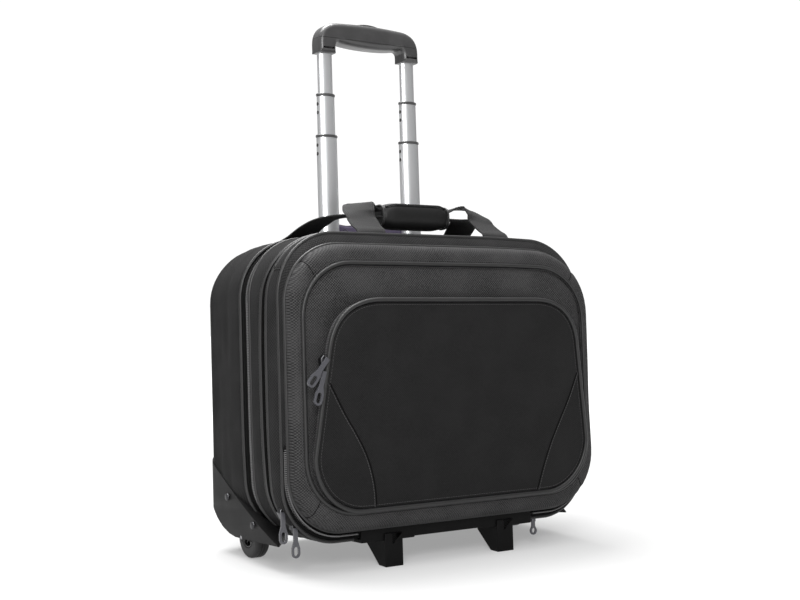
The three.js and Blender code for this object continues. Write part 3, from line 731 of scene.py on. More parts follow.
def inflate(made: bpy.types.Object, voxel: float, pinned: Callable[[Array], Array],
            cap: float, pressure: float = 4.0) -> None:
    """Swells a closed pad by a short cloth simulation and keeps the result.

    Args:
        made: The pad, closed, in place.
        voxel: Size of the remeshed cells, in millimetres.
        pinned: Says from points in case millimetres which of them are sewn down.
        cap: The furthest that a point may move, in millimetres.
        pressure: The air pressure inside.
    """
    remesh = made.modifiers.new("cells", "REMESH")
    remesh.mode = "VOXEL"
    remesh.voxel_size = voxel * 0.001
    settle_mesh(made)
    count = len(made.data.vertices)
    start = np.empty(count * 3, np.float32)
    made.data.vertices.foreach_get("co", start)
    held = np.flatnonzero(pinned(CASE.local(start.reshape(-1, 3))))
    group = made.vertex_groups.new(name="sewn")
    group.add([int(k) for k in held], 1.0, "REPLACE")
    cloth = made.modifiers.new("swell", "CLOTH")
    cloth.settings.use_pressure = True
    cloth.settings.uniform_pressure_force = pressure
    cloth.settings.effector_weights.gravity = 0.0
    cloth.settings.vertex_group_mass = "sewn"
    cloth.settings.quality = 4
    cloth.point_cache.frame_start, cloth.point_cache.frame_end = 1, 20
    scene = bpy.context.scene
    for step in range(1, 21):
        scene.frame_set(step)
    ready = made.evaluated_get(bpy.context.evaluated_depsgraph_get())
    end = np.empty(count * 3, np.float32)
    ready.data.vertices.foreach_get("co", end)
    made.modifiers.remove(cloth)
    scene.frame_set(1)
    move = (end - start).reshape(-1, 3)
    far = np.linalg.norm(move, axis=1, keepdims=True)
    move *= np.minimum(1.0, cap * 0.001 / np.maximum(far, 1e-9))
    made.data.vertices.foreach_set("co", (start.reshape(-1, 3) + move).reshape(-1))
    made.data.polygons.foreach_set("use_smooth", np.ones(len(made.data.polygons), bool))
    made.data.update()
    most = 1000.0 * float(np.linalg.norm(move, axis=1).max())
    LOG.info("%s swelled by up to %.1f mm", made.name, most)


def settle_mesh(made: bpy.types.Object) -> None:
    """Applies an object's modifiers to its mesh."""
    ready = made.evaluated_get(bpy.context.evaluated_depsgraph_get())
    mesh = bpy.data.meshes.new_from_object(ready)
    materials = list(made.data.materials)
    made.modifiers.clear()
    made.data = mesh
    mesh.materials.clear()
    for material in materials:
        mesh.materials.append(material)


def subdivided(made: bpy.types.Object) -> None:
    """Adds a Subdivision Surface with the same level in the view and the render."""
    finer = made.modifiers.new("finer", "SUBSURF")
    finer.levels = 1
    finer.render_levels = 1


def laid_on(target: bpy.types.Object, points: Array) -> Array:
    """Points moved straight back until they meet a piece's front.

    Args:
        target: The piece that they lie on.
        points: Points in case millimetres, in front of it.

    Returns:
        The points on the surface, or where they were if they miss it.
    """
    graph = bpy.context.evaluated_depsgraph_get()
    tree = BVHTree.FromObject(target, graph)
    way = Vector(CASE.back)
    reach = 0.04
    hits = [tree.ray_cast(Vector(p), way, reach)[0] for p in CASE.world(points)]
    rows = [list(hit) if hit is not None else list(p) for hit, p in zip(hits, CASE.world(points))]
    return CASE.local(np.array(rows))


# ---- Outlines and seam lines of the soft body -------------------------------------------------


@dataclass(frozen=True)
class Outline:
    """A rounded rectangle in x and z, walked anticlockwise from its lower left by phase 0 to 8.

    Even whole phases begin the bottom, right, top and left sides, and odd ones begin the corner
    that follows each, so points of equal phase on two outlines lie on one mitre line.
    """

    half: float
    low: float
    high: float
    radii: tuple[float, float, float, float]

    def at(self, phase: Array, inset: Union[float, Array] = 0.0) -> tuple[Array, Array]:
        """A centre that slides along each side or stays at each corner, plus radius times normal.

        Args:
            phase: Where on the outline.
            inset: How far it is drawn in.

        Returns:
            Points as x, z and unit outward normals.
        """
        r = np.array(self.radii)
        sides = np.array([1, 1, -1, -1]), np.array([-1, 1, 1, -1])
        cx = sides[0] * (self.half - r)
        cz = np.where(sides[1] > 0, self.high - r, self.low + r)
        turn = np.floor(phase).astype(int) % 8
        part, j, corner = phase - np.floor(phase), turn // 2, turn % 2 == 1
        angle = np.radians(-90.0 + 90.0 * j + np.where(corner, 90.0 * part, 0.0))
        share = np.where(corner, 1.0, part)
        before = (j - 1) % 4
        centre = np.stack([cx[before] + share * (cx[j] - cx[before]),
                           cz[before] + share * (cz[j] - cz[before])], -1)
        radius = r[before] + share * (r[j] - r[before]) - inset
        normal = np.stack([np.cos(angle), np.sin(angle)], -1)
        return centre + np.broadcast_to(radius, phase.shape)[..., None] * normal, normal

    def depth(self, points: Array) -> Array:
        """How far inside the outline points lie, from x and z, with one mean corner radius."""
        r = float(np.mean(self.radii))
        middle = 0.5 * (self.low + self.high)
        q = np.abs(points - (0.0, middle)) - (self.half - r, 0.5 * (self.high - self.low) - r)
        outside = np.linalg.norm(np.maximum(q, 0.0), axis=-1)
        return r - outside - np.minimum(np.maximum(q[..., 0], q[..., 1]), 0.0)


BODY = Outline(215.0, -12.0, 335.0, (65.0, 74.0, 72.0, 65.0))
LID = Outline(213.0, 0.0, 321.0, (65.0, 78.0, 68.0, 65.0))
PANEL = Outline(200.0, 21.0, 299.0, (62.0, 68.0, 62.0, 62.0))
RECESS_PHASES = (4.144, 4.829)
MIDDLE = 161.5


def phases(start: float = 0.0, stop: float = 8.0, side: int = 22, corner: int = 14) -> Array:
    """Places round an outline, evenly along each side and each corner."""
    runs = [np.linspace(k, k + 1, side if k % 2 == 0 else corner, endpoint=False) for k in range(8)]
    every = np.unique(np.concatenate(runs + [np.array(RECESS_PHASES)]))
    return every[(every >= start) & (every < stop)]


def seam(phase: Array, outline: Outline, y: Union[float, Callable[[Array], Array]],
         inset: Union[float, Array] = 0.0) -> tuple[Array, Array]:
    """A line round the soft body, settled as filled cloth settles.

    The top sinks by 2.5 mm towards its right front corner and by 4 mm towards its back corners.

    Args:
        phase: Where on the outline.
        outline: The outline it follows.
        y: Its depth, or the depth as a function of height.
        inset: How far it is drawn in.

    Returns:
        Points and outward normals, both as x, y, z.
    """
    flat, normal = outline.at(phase, inset)
    x, z = flat[..., 0], flat[..., 1]
    depth = y(z) if callable(y) else np.full_like(x, y)
    high = smooth(z, 240.0, 330.0)
    sink = 2.5 * high * smooth(x, 60.0, 190.0) * (1.0 - smooth(depth, 90.0, 125.0))
    sink = sink + 4.0 * high * smooth(np.abs(x), 100.0, 170.0) * smooth(depth, 150.0, 195.0)
    points = np.stack([x, depth, z - sink], -1)
    return points, np.stack([normal[..., 0], np.zeros_like(x), normal[..., 1]], -1)


def bow(z: Array) -> Array:
    """How far a zip line swings forward: the cube of its height above or below the middle."""
    return (np.abs(z - MIDDLE) / 173.5) ** 3


def zip_b_front(z: Array) -> Array:
    """Front edge of the zip behind the front compartment."""
    return 44.0 - 20.0 * bow(z)


def zip_b_back(z: Array) -> Array:
    """Back edge of that zip."""
    return 58.0 - 26.0 * bow(z)


def zip_a_front(z: Array) -> Array:
    """Front edge of the zip in front of the rear compartment."""
    return 84.0 - 15.0 * np.where(z < MIDDLE, bow(z), 0.0)


def zip_a_back(z: Array) -> Array:
    """Back edge of that zip."""
    return 107.0 - 15.0 * np.where(z < MIDDLE, bow(z), 0.0)


def between(front: Callable[[Array], Array], back: Callable[[Array], Array],
            share: float) -> Callable[[Array], Array]:
    """The line that lies at a share of the way from a front line to a back line."""
    return lambda z: front(z) + share * (back(z) - front(z))


def clear_of_wheels(centre: Array) -> Array:
    """Says which places on the soft body aren't inside a wheel housing."""
    x, y, z = np.abs(centre[:, 0]), centre[:, 1], centre[:, 2]
    return ~((x > 177.0) & (y > 101.0) & (y < 163.0) & (z < 19.0))


def clear_of_recess(centre: Array) -> Array:
    """Says which places aren't over the pull handle's recess."""
    x, y, z = np.abs(centre[:, 0]), centre[:, 1], centre[:, 2]
    return ~((x < 95.0) & (y > 139.9) & (y < 182.1) & (z > 300.0))


# ---- The soft body ----------------------------------------------------------------------------


@dataclass
class SoftBody:
    """The gussets, the rear shell, their piping and the two zips between them."""

    wall: float = 2.2
    piping: float = 2.0
    rear: float = 203.0
    rounding: float = 17.0
    slack: float = 0.75
    recess_marks: tuple[float, ...] = (140.0, 161.0, 182.0)
    every: Array = field(default_factory=phases)

    def panel(self, front: Callable[[Array], Array], back: Callable[[Array], Array], bulge: float,
              seed: int, rows: int = 12) -> list[Array]:
        """Rows of a cloth panel between two seam lines.

        It turns in at both seams and swells between them by a half sine, with seeded slack.

        Args:
            front: Depth of its front seam.
            back: Depth of its back seam.
            bulge: How far it swells.
            seed: Chooses its slack.
            rows: Number of rows between the seams.

        Returns:
            Rows of points from front to back.
        """
        made = [seam(self.every, BODY, front, 4.0)[0], seam(self.every, BODY, front, 1.2)[0]]
        for t in np.linspace(0.04, 0.96, rows):
            points, normal = seam(self.every, BODY, between(front, back, t))
            rise = math.sin(math.pi * t)
            lift = bulge * rise**0.7 + folds(points, self.slack, 26.0, seed) * rise
            made.append(points + normal * (lift - 0.3)[:, None])
        made += [seam(self.every, BODY, back, 1.2)[0], seam(self.every, BODY, back, 4.0)[0]]
        return made

    def pipe(self, name: str, y: Callable[[Array], Array]) -> None:
        """A line of piping round the whole body."""
        points, normal = seam(self.every, BODY, y, 0.1)
        shape = rope(points, normal, self.piping, closed=True)
        piece(name, shape, Finish.PIPING)

    def zip(self, name: str, front: Callable[[Array], Array], back: Callable[[Array], Array],
            node: str) -> None:
        """A recessed tape, folded in towards its middle, with a coil of teeth along it."""
        rows = []
        for t in np.linspace(0.0, 1.0, 9):
            inset = 2.6 + 1.6 * math.sin(math.pi * t)
            rows.append(seam(self.every, BODY, between(front, back, t), inset)[0])
        tape = grid(np.array(rows), close_cols=True, flip=True)
        piece(f"{name}_tape", tape, Finish.ZIP_TAPE, stands_for=[node], thick=0.8)
        middle = lambda z: 0.5 * (front(z) + back(z))
        points, normal = seam(phases(side=60, corner=40), BODY, middle, 3.4)
        teeth = blocks(points, normal, 1.9, (1.15, 4.6, 1.5), closed=True)
        cords = [rope(*seam(self.every, BODY, lambda z, s=s: middle(z) + s, 3.5), 0.55, True, 5)
                 for s in (-2.6, 2.6)]
        piece(f"{name}_coil", teeth + cords[0] + cords[1], Finish.COIL)

    def rear_shell(self) -> None:
        """The rear compartment's side, which rounds over into a crowned back panel."""
        start = self.rear - self.rounding
        rows = self.panel(lambda z: zip_a_back(z) + 0.2, lambda z: np.full_like(z, start),
                          1.6, 5, 9)[:-2]
        rows += [self.swollen(y, 7) for y in self.recess_marks]
        rows.sort(key=lambda row: float(row[len(row) // 2, 1]))
        for angle in np.linspace(0.0, math.pi / 2, 8):
            inset = self.rounding * (1.0 - math.cos(angle))
            depth = start + self.rounding * math.sin(angle)
            rows.append(seam(self.every, BODY, depth, inset - 0.8)[0])
        keep = lambda c: clear_of_wheels(c) & clear_of_recess(c)
        side = grid(np.array(rows), close_cols=True, keep=keep, flip=True)
        piece("rear_shell_side", side, Finish.SIDE_CLOTH, stands_for=["rear_shell"],
              thick=self.wall)
        edge, _ = seam(self.every, BODY, self.rear, self.rounding - 1.0)
        centre = np.array((0.0, self.rear, MIDDLE))
        rows = []
        for share in (1.0, 0.985, 0.96, 0.92, 0.86, 0.78, 0.68, 0.56, 0.42, 0.28, 0.14, 0.03):
            ring = centre + (edge - centre) * share
            ring[:, 1] = self.rear - 0.4 + 2.4 * (1.0 - share**4)
            ring[:, 1] += folds(ring, 0.35, 40.0, 9) * (1.0 - share**6)
            rows.append(ring)
        back = grid(np.array(rows), close_cols=True, caps=True, flip=True)
        back.faces[-1], back.uvs[-1] = back.faces[-1][1:], back.uvs[-1][1:]
        piece("rear_panel", back, Finish.FRONT_CLOTH)
        points, normal = seam(self.every, BODY, self.rear - 0.3, self.rounding - 1.0)
        outward = unit(normal + np.array((0.0, 1.0, 0.0)))
        piece("rear_panel_piping", rope(points, outward, self.piping, True), Finish.PIPING)

    def swollen(self, y: float, seed: int) -> Array:
        """One row of the rear side at a set depth."""
        points, normal = seam(self.every, BODY, y)
        return points + normal * (1.0 + folds(points, self.slack, 26.0, seed))[:, None]

    def build(self) -> None:
        """Builds every piece of the soft body."""
        after = lambda line: (lambda z: line(z) + 0.2)
        before = lambda line: (lambda z: line(z) - 0.2)
        middle = self.panel(after(zip_b_back), before(zip_a_front), 1.3, 3)
        piece("middle_gusset_cloth", grid(np.array(middle), close_cols=True, flip=True),
              Finish.SIDE_CLOTH, stands_for=["middle_gusset"], thick=self.wall)
        front = self.panel(lambda z: np.full_like(z, 12.3), before(zip_b_front), 1.5, 2)
        piece("front_gusset_cloth", grid(np.array(front), close_cols=True, flip=True),
              Finish.SIDE_CLOTH, stands_for=["front_gusset"], thick=self.wall)
        self.rear_shell()
        self.zip("front_compartment_zip", zip_b_front, zip_b_back, "middle_zip_band")
        self.zip("rear_compartment_zip", zip_a_front, zip_a_back, "rear_zip_band")
        lines = {"front_gusset_rear": before(zip_b_front), "middle_gusset_front": after(zip_b_back),
                 "middle_gusset_rear": before(zip_a_front), "rear_shell_front": after(zip_a_back)}
        for name, line in lines.items():
            self.pipe(f"{name}_piping", line)
        self.corner_seams()

    def corner_seams(self) -> None:
        """Sewn joints across the front gusset, near its corners and halfway up its sides."""
        shapes = []
        for phase in (3.35, 4.93, 5.72, 2.35):
            rows = [seam(np.array([phase]), BODY, lambda z, t=t: 12.3 + t * (zip_b_front(z) - 12.3))
                    for t in np.linspace(0.02, 0.98, 18)]
            rise = np.sin(np.pi * np.linspace(0.02, 0.98, 18))[:, None] ** 0.7
            points = np.concatenate([r[0] for r in rows])
            normal = np.concatenate([r[1] for r in rows])
            slack = folds(points, self.slack, 26.0, 2)[:, None]
            points = points + normal * (1.5 * rise + slack * rise)
            shapes.append(rope(points - normal * 0.1, normal, 0.7))
            shapes[-1] = shapes[-1] + blocks(points + (0.0, 0.0, 2.4), normal, 3.6, (2.4, 0.7, 0.9))
        piece("front_gusset_joints", joined(shapes), Finish.PIPING)


# ---- The lid's zip ----------------------------------------------------------------------------


@dataclass
class LidZip:
    """The band between the lid and the body: a coil low down and a smooth flap over it above."""

    coil_top: float = 97.0
    rail_half: float = 122.5
    piping: float = 1.9

    def ring(self, t: float, out: Array, every: Array) -> tuple[Array, Array]:
        """A row between the lid's outline at t = 0 and the body's at t = 1, moved outwards."""
        first, normal = seam(every, LID, 0.0)
        second, _ = seam(every, BODY, 12.0)
        return first + t * (second - first) + normal * out[:, None], normal

    def build(self) -> None:
        """Builds the tape, the flap, the coil and the double piping."""
        every = phases(side=40, corner=24)
        height = seam(every, LID, 0.0)[0][:, 2]
        covered = smooth(height, self.coil_top - 4.0, self.coil_top + 6.0)
        rows = []
        for t in np.linspace(0.0, 1.0, 9):
            rise = math.sin(math.pi * t)
            out = covered * 1.3 * rise**0.6 - (1.0 - covered) * 2.2 * rise**0.5
            rows.append(self.ring(t, out, every)[0])
        clear = lambda c: ~((np.abs(c[:, 0]) < self.rail_half) & (c[:, 2] < 2.0) & (c[:, 1] > 1.2))
        above = lambda c: c[:, 2] > self.coil_top
        flap = grid(np.array(rows), close_cols=True, keep=above, flip=True)
        piece("lid_zip_flap", flap, Finish.SIDE_CLOTH, stands_for=["front_zip_band"],
              thick=0.9)
        tape = grid(np.array(rows), close_cols=True, keep=lambda c: clear(c) & ~above(c), flip=True)
        piece("lid_zip_tape", tape, Finish.ZIP_TAPE, thick=0.9)
        path, normal = self.ring(0.5, np.full(len(every), -0.6), every)
        low = path[:, 2] < self.coil_top
        side = (np.abs(path[:, 0]) > self.rail_half + 4.0) & low
        shapes = []
        for sign in (-1.0, 1.0):
            chosen = side & (path[:, 0] * sign > 0.0)
            run, out = path[chosen], normal[chosen]
            order = np.argsort(np.arctan2(run[:, 2] - 60.0, run[:, 0] * sign - 150.0))
            run, out = run[order], out[order]
            shapes.append(blocks(run, out, 2.3, (1.0, 6.0, 1.8)))
            across = unit(np.cross(tangents(run), out))
            shapes += [rope(run + across * k, out, 0.7, sides=6) for k in (-3.1, 3.1)]
        piece("lid_zip_coil", joined(shapes), Finish.COIL)
        front, out = seam(every, LID, 0.9, -0.3)
        rear, _ = seam(every, BODY, 12.0, 0.0)
        piece("lid_zip_front_piping", rope(front, out, self.piping, True), Finish.PIPING)
        off_rail = (np.abs(rear[:, 0]) > self.rail_half) | (rear[:, 2] > 20.0)
        run, side_out = rear[off_rail], out[off_rail]
        steps = np.linalg.norm(np.diff(run, axis=0, append=run[:1]), axis=1)
        start = int(np.argmax(steps)) + 1
        open_run = rope(np.roll(run, -start, 0), np.roll(side_out, -start, 0), self.piping + 0.2)
        piece("lid_zip_rear_piping", open_run, Finish.PIPING)


# ---- The lid ----------------------------------------------------------------------------------


@dataclass
class Lid:
    """The hinged front: a padded border with mitred corners round a padded inner panel."""

    wall: float = 2.4
    depth: float = 15.7
    crown: float = 5.0

    def border_row(self, turn: float, every: Array) -> tuple[Array, Array]:
        """A row of the border: a squarish quarter oval from the zip line to the inner piping."""
        first, normal = seam(every, LID, 0.0)
        second, _ = seam(every, PANEL, 0.0, -1.0)
        out, forward = math.cos(turn) ** 0.62, math.sin(turn) ** 0.85
        points = second + (first - second) * out
        points[:, 1] = -0.4 - self.depth * forward
        lift = unit(normal * out + FRONT_WARD * forward)
        mitre = np.abs(every - np.round(every - 0.5) - 0.5)
        corner = np.where(np.floor(every).astype(int) % 2 == 1, mitre, 1.0)
        groove = np.exp(-((corner / 0.03) ** 2))
        slack = folds(points, 0.35, 30.0, 21) * math.sin(2 * turn)
        return points + lift * (slack - groove)[:, None], lift

    def build(self) -> None:
        """Builds the border, its mitre seams, the inner piping and the padded panel."""
        fine = np.unique(np.concatenate([phases(), *(k + 0.5 + np.linspace(-0.08, 0.08, 9)
                                                     for k in (1, 3, 5, 7))]))
        turns = np.linspace(0.0, math.pi / 2, 16)
        rows = [seam(fine, LID, -0.4, 3.0)[0]] + [self.border_row(t, fine)[0] for t in turns]
        rows += [seam(fine, PANEL, -14.0, 2.4)[0]]
        border = grid(np.array(rows), close_cols=True)
        piece("lid_border_cloth", border, Finish.FRONT_CLOTH, "lid", ["lid_border"],
              thick=self.wall)
        shapes = []
        for k in (1.5, 3.5, 5.5, 7.5):
            pair = [self.border_row(t, np.array([k])) for t in np.linspace(0.05, math.pi / 2, 14)]
            path = np.concatenate([p[0] for p in pair])
            out = np.concatenate([p[1] for p in pair])
            shapes.append(rope(path + out * 0.1, out, 0.45, sides=6))
        # The mitre ropes are near black as painted shade in the creases of the mitre seams.
        piece("lid_border_mitre_seams", joined(shapes),
              Finish.DARK_SEAM, "lid")
        every = phases()
        path, normal = seam(every, PANEL, -16.4, 0.0)
        out = unit(normal + np.array((0.0, -1.4, 0.0)))
        piece("lid_panel_piping", rope(path, out, 2.5, True, 10), Finish.PIPING,
              "lid")
        self.stitch_rows(every)
        self.inner_panel(every)

    def stitch_rows(self, every: Array) -> None:
        """A row of stitches beside the piping, on the border and on the panel."""
        shapes = []
        for inset, y in ((-4.4, -15.95), (3.6, -16.9)):
            path, normal = seam(every, PANEL, y, inset)
            out = np.tile(FRONT_WARD, (len(path), 1))
            shapes.append(blocks(path, out, 3.4, (2.3, 0.55, 0.6), closed=True))
        piece("lid_stitching", shapes[0] + shapes[1], Finish.THREAD, "lid")

    def inner_panel(self, every: Array) -> None:
        """A slab whose front rises from its sewn rim, swelled by cloth simulation."""
        rows = []
        for inset in (1.6, 3.0, 6.0, 10.0, 16.0, 24.0, 34.0, 46.0, 58.0):
            rise = self.crown * (1.0 - (1.0 - min(inset, 46.0) / 46.0) ** 2)
            row = seam(every, PANEL, -15.2, inset)[0]
            row[:, 1] -= rise * smooth(row[:, 2], 225.0, 268.0)
            rows.append(row)
        centre = rows[-1].mean(0)
        rows += [centre + (rows[-1] - centre) * s for s in (0.75, 0.5, 0.25, 0.04)]
        axis = centre * (1, 0, 1)
        rim = seam(every, PANEL, 0.0, 1.6)[0] - axis
        back = [axis + rim * share + (0, -10.5, 0) for share in (0.05, 0.5, 1.0)]
        shape = grid(np.array(back + rows), close_cols=True, caps=True)
        pad = piece("lid_panel_pad", shape, Finish.FRONT_CLOTH, "lid",
                    ["lid_inner_panel"])
        sewn = lambda p: ((p[:, 1] > -14.0) | (PANEL.depth(p[:, [0, 2]]) < 4.5)
                          | (p[:, 2] < 246.0))
        inflate(pad, 3.6, sewn, 4.0)
        subdivided(pad)


# ---- The front pocket -------------------------------------------------------------------------


@dataclass
class FrontPocket:
    """The zipped pocket: a padded face on a side wall, with piping, a zip and shaped seams."""

    low: float = 23.0
    high: float = 256.0
    low_half: float = 192.0
    high_half: float = 171.0
    low_front: float = -19.5
    high_front: float = -35.0
    base: float = -16.5
    crown: float = 6.5
    pad: float = 8.0
    count: int = 220

    def outline(self, inset: float = 0.0) -> tuple[Array, Array]:
        """Round lower corners, sides that lean in and large square-set upper corners.

        Args:
            inset: How far the outline is drawn in along its normals.

        Returns:
            Points as x, z and outward normals, anticlockwise.
        """
        r = 62.0
        arc = np.radians(np.linspace(-90.0, 0.0, 40))
        lower = np.stack([self.low_half - r + r * np.cos(arc), self.low + r + r * np.sin(arc)], -1)
        a, b = np.array((self.high_half + 5.0, 200.0)), np.array((self.high_half + 1.0, 236.0))
        c = np.array((self.high_half - 22.0, self.high))
        d = np.array((self.high_half - 62.0, self.high))
        t = np.linspace(0.0, 1.0, 40)[:, None]
        upper = (1 - t) ** 3 * a + 3 * (1 - t) ** 2 * t * b + 3 * (1 - t) * t**2 * c + t**3 * d
        right = np.concatenate([lower, upper])
        left = right[::-1] * (-1.0, 1.0)
        loop = np.concatenate([right, left])
        flat = np.stack([loop[:, 0], np.zeros(len(loop)), loop[:, 1]], -1)
        run = lengths(np.concatenate([flat, flat[:1]]))[-1]
        even = resample(flat, run / self.count, closed=True)[0]
        tangent = tangents(even, True)
        for _ in range(3):
            tangent = unit(np.roll(tangent, 1, 0) + tangent * 2 + np.roll(tangent, -1, 0))
        normal = np.stack([tangent[:, 2], np.zeros(len(even)), -tangent[:, 0]], -1)
        moved = even - normal * inset
        return moved[:, [0, 2]], normal

    def edge(self, z: Array) -> Array:
        """Depth of the piped edge, which stands further forward towards the top."""
        share = (z - self.low) / (self.high - self.low)
        return self.low_front + (self.high_front - self.low_front) * share

    def ring(self, inset: float, forward: float) -> tuple[Array, Array]:
        """A ring of the face: the outline drawn in, at the edge's depth less a rise."""
        flat, normal = self.outline(inset)
        return np.stack([flat[:, 0], self.edge(flat[:, 1]) - forward, flat[:, 1]], -1), normal

    def slab_side(self, insets: Sequence[float], behind: float) -> list[Array]:
        """Rings that run in from the rim and then shrink towards the middle as the face rises.

        Args:
            insets: How far in the first rings lie.
            behind: How far back from the face they lie.

        Returns:
            Rings of points from the rim inwards.
        """
        rings = []
        for inset in insets:
            rise = self.crown * (1.0 - (1.0 - inset / 60.0) ** 2.2)
            rings.append(self.ring(inset, rise - behind)[0])
            rings[-1][:, 1] = np.minimum(rings[-1][:, 1], self.base + 2.0)
        centre, last = rings[-1].mean(0), rings[-1]
        start = self.crown * (1.0 - (1.0 - insets[-1] / 60.0) ** 2.2)
        for share in (0.88, 0.74, 0.58, 0.4, 0.2, 0.03):
            ring = centre + (last - centre) * share
            ring[:, 1] -= (self.crown - start) * (1.0 - share**2.2)
            rings.append(ring)
        return rings

    def face(self) -> bpy.types.Object:
        """The padded face, a closed slab that is swelled by cloth simulation."""
        rows = self.slab_side((0.8, 3.0, 7.0, 12.0, 18.0, 24.0), 0.0)
        back = self.slab_side((0.8, 8.0, 22.0), self.pad)
        shape = grid(np.array(back[::-1] + rows), close_cols=True, caps=True)
        pad = piece("pocket_face_pad", shape, Finish.POCKET_CLOTH, "pocket",
                    ["front_pocket"])
        def sewn(points: Array) -> Array:
            """Points on the slab's back or beside its piped rim."""
            inside = points[:, 2] - self.low, self.high - points[:, 2]
            side = np.interp(points[:, 2], (23, 67, 179, 200, 256), (150, 192, 180, 176, 118))
            rim = np.minimum(np.minimum(*inside), side - np.abs(points[:, 0]))
            return (rim < 4.0) | (points[:, 1] > self.edge(points[:, 2]) + 2.5)
        inflate(pad, 3.6, sewn, 5.0)
        subdivided(pad)
        return pad

    def side(self) -> None:
        """The side wall from the lid to the piped edge, with its zip round the sides and top."""
        foot, normal = self.outline(2.0)
        top, _ = self.outline(0.6)
        rows = []
        for t in np.linspace(0.0, 1.0, 9):
            flat = foot + t * (top - foot)
            y = self.base + t * (self.edge(top[:, 1]) + 0.8 - self.base)
            row = np.stack([flat[:, 0], y, flat[:, 1]], -1)
            puff = 0.9 * math.sin(math.pi * t) + folds(row, 0.25, 20.0, 4)
            rows.append(row + normal * puff[:, None])
        piece("pocket_side_wall", grid(np.array(rows), close_cols=True), Finish.SIDE_CLOTH,
              "pocket", thick=1.6)
        mid = 0.5 * (rows[4] + rows[5]) + normal * 0.2
        chosen = mid[:, 2] > 62.0
        start = int(np.flatnonzero(chosen & ~np.roll(chosen, 1))[0])
        path, out = (np.roll(a, -start, 0)[: int(chosen.sum())] for a in (mid, normal))
        tape = sweep(path, np.tile(np.array((0.0, 1.0, 0.0)), (len(path), 1)), out,
                     np.array(((-3.2, -0.3), (3.2, -0.3), (3.2, 0.35), (-3.2, 0.35))))
        piece("pocket_zip_tape", tape, Finish.ZIP_TAPE, "pocket")
        teeth = blocks(path + out * 0.6, out, 1.8, (1.1, 3.6, 1.2))
        piece("pocket_zip_coil", teeth, Finish.COIL, "pocket")

    def trim(self, pad: bpy.types.Object) -> None:
        """The piping round the face and the shaped seams across it, laid on the swelled face."""
        path, normal = self.ring(-0.6, 0.4)
        out = unit(normal + np.array((0.0, -0.9, 0.0)))
        piece("pocket_piping", rope(path, out, 2.5, True, 10), Finish.PIPING,
              "pocket")
        knots = ((176.0, -60.0, 166.0), (155.0, -60.0, 126.0), (147.0, -60.0, 113.0),
                 (129.5, -60.0, 80.0), (119.0, -60.0, 48.0), (115.0, -60.0, 27.0))
        seams, threads = [], []
        for sign in (-1.0, 1.0):
            line = curve([(sign * x, y, z) for x, y, z in knots], 90)
            for shift, kind in ((0.0, seams), (2.4, threads)):
                moved = line + np.array((sign * shift, 0.0, 0.0))
                laid = laid_on(pad, moved)
                out = np.tile(FRONT_WARD, (len(laid), 1))
                if kind is seams:
                    kind.append(rope(laid + out * 0.05, out, 0.75, sides=6))
                else:
                    kind.append(blocks(laid + out * 0.15, out, 3.2, (2.3, 0.7, 0.6)))
        # The shaped seams are thin near-black ropes: painted shade along the seams' creases.
        piece("pocket_shaped_seams", seams[0] + seams[1], Finish.DARK_SEAM, "pocket")
        rim, _ = self.ring(5.2, -3.0)
        rim[:, 1] = -60.0
        laid = laid_on(pad, rim)
        out = np.tile(FRONT_WARD, (len(laid), 1))
        edge = blocks(laid + out * 0.1, out, 3.4, (2.3, 0.5, 0.5), closed=True)
        piece("pocket_stitching", joined(threads + [edge]), Finish.THREAD, "pocket")

    def build(self) -> None:
        """Builds the pocket."""
        pad = self.face()
        self.side()
        self.trim(pad)


# ---- Carry handles ----------------------------------------------------------------------------


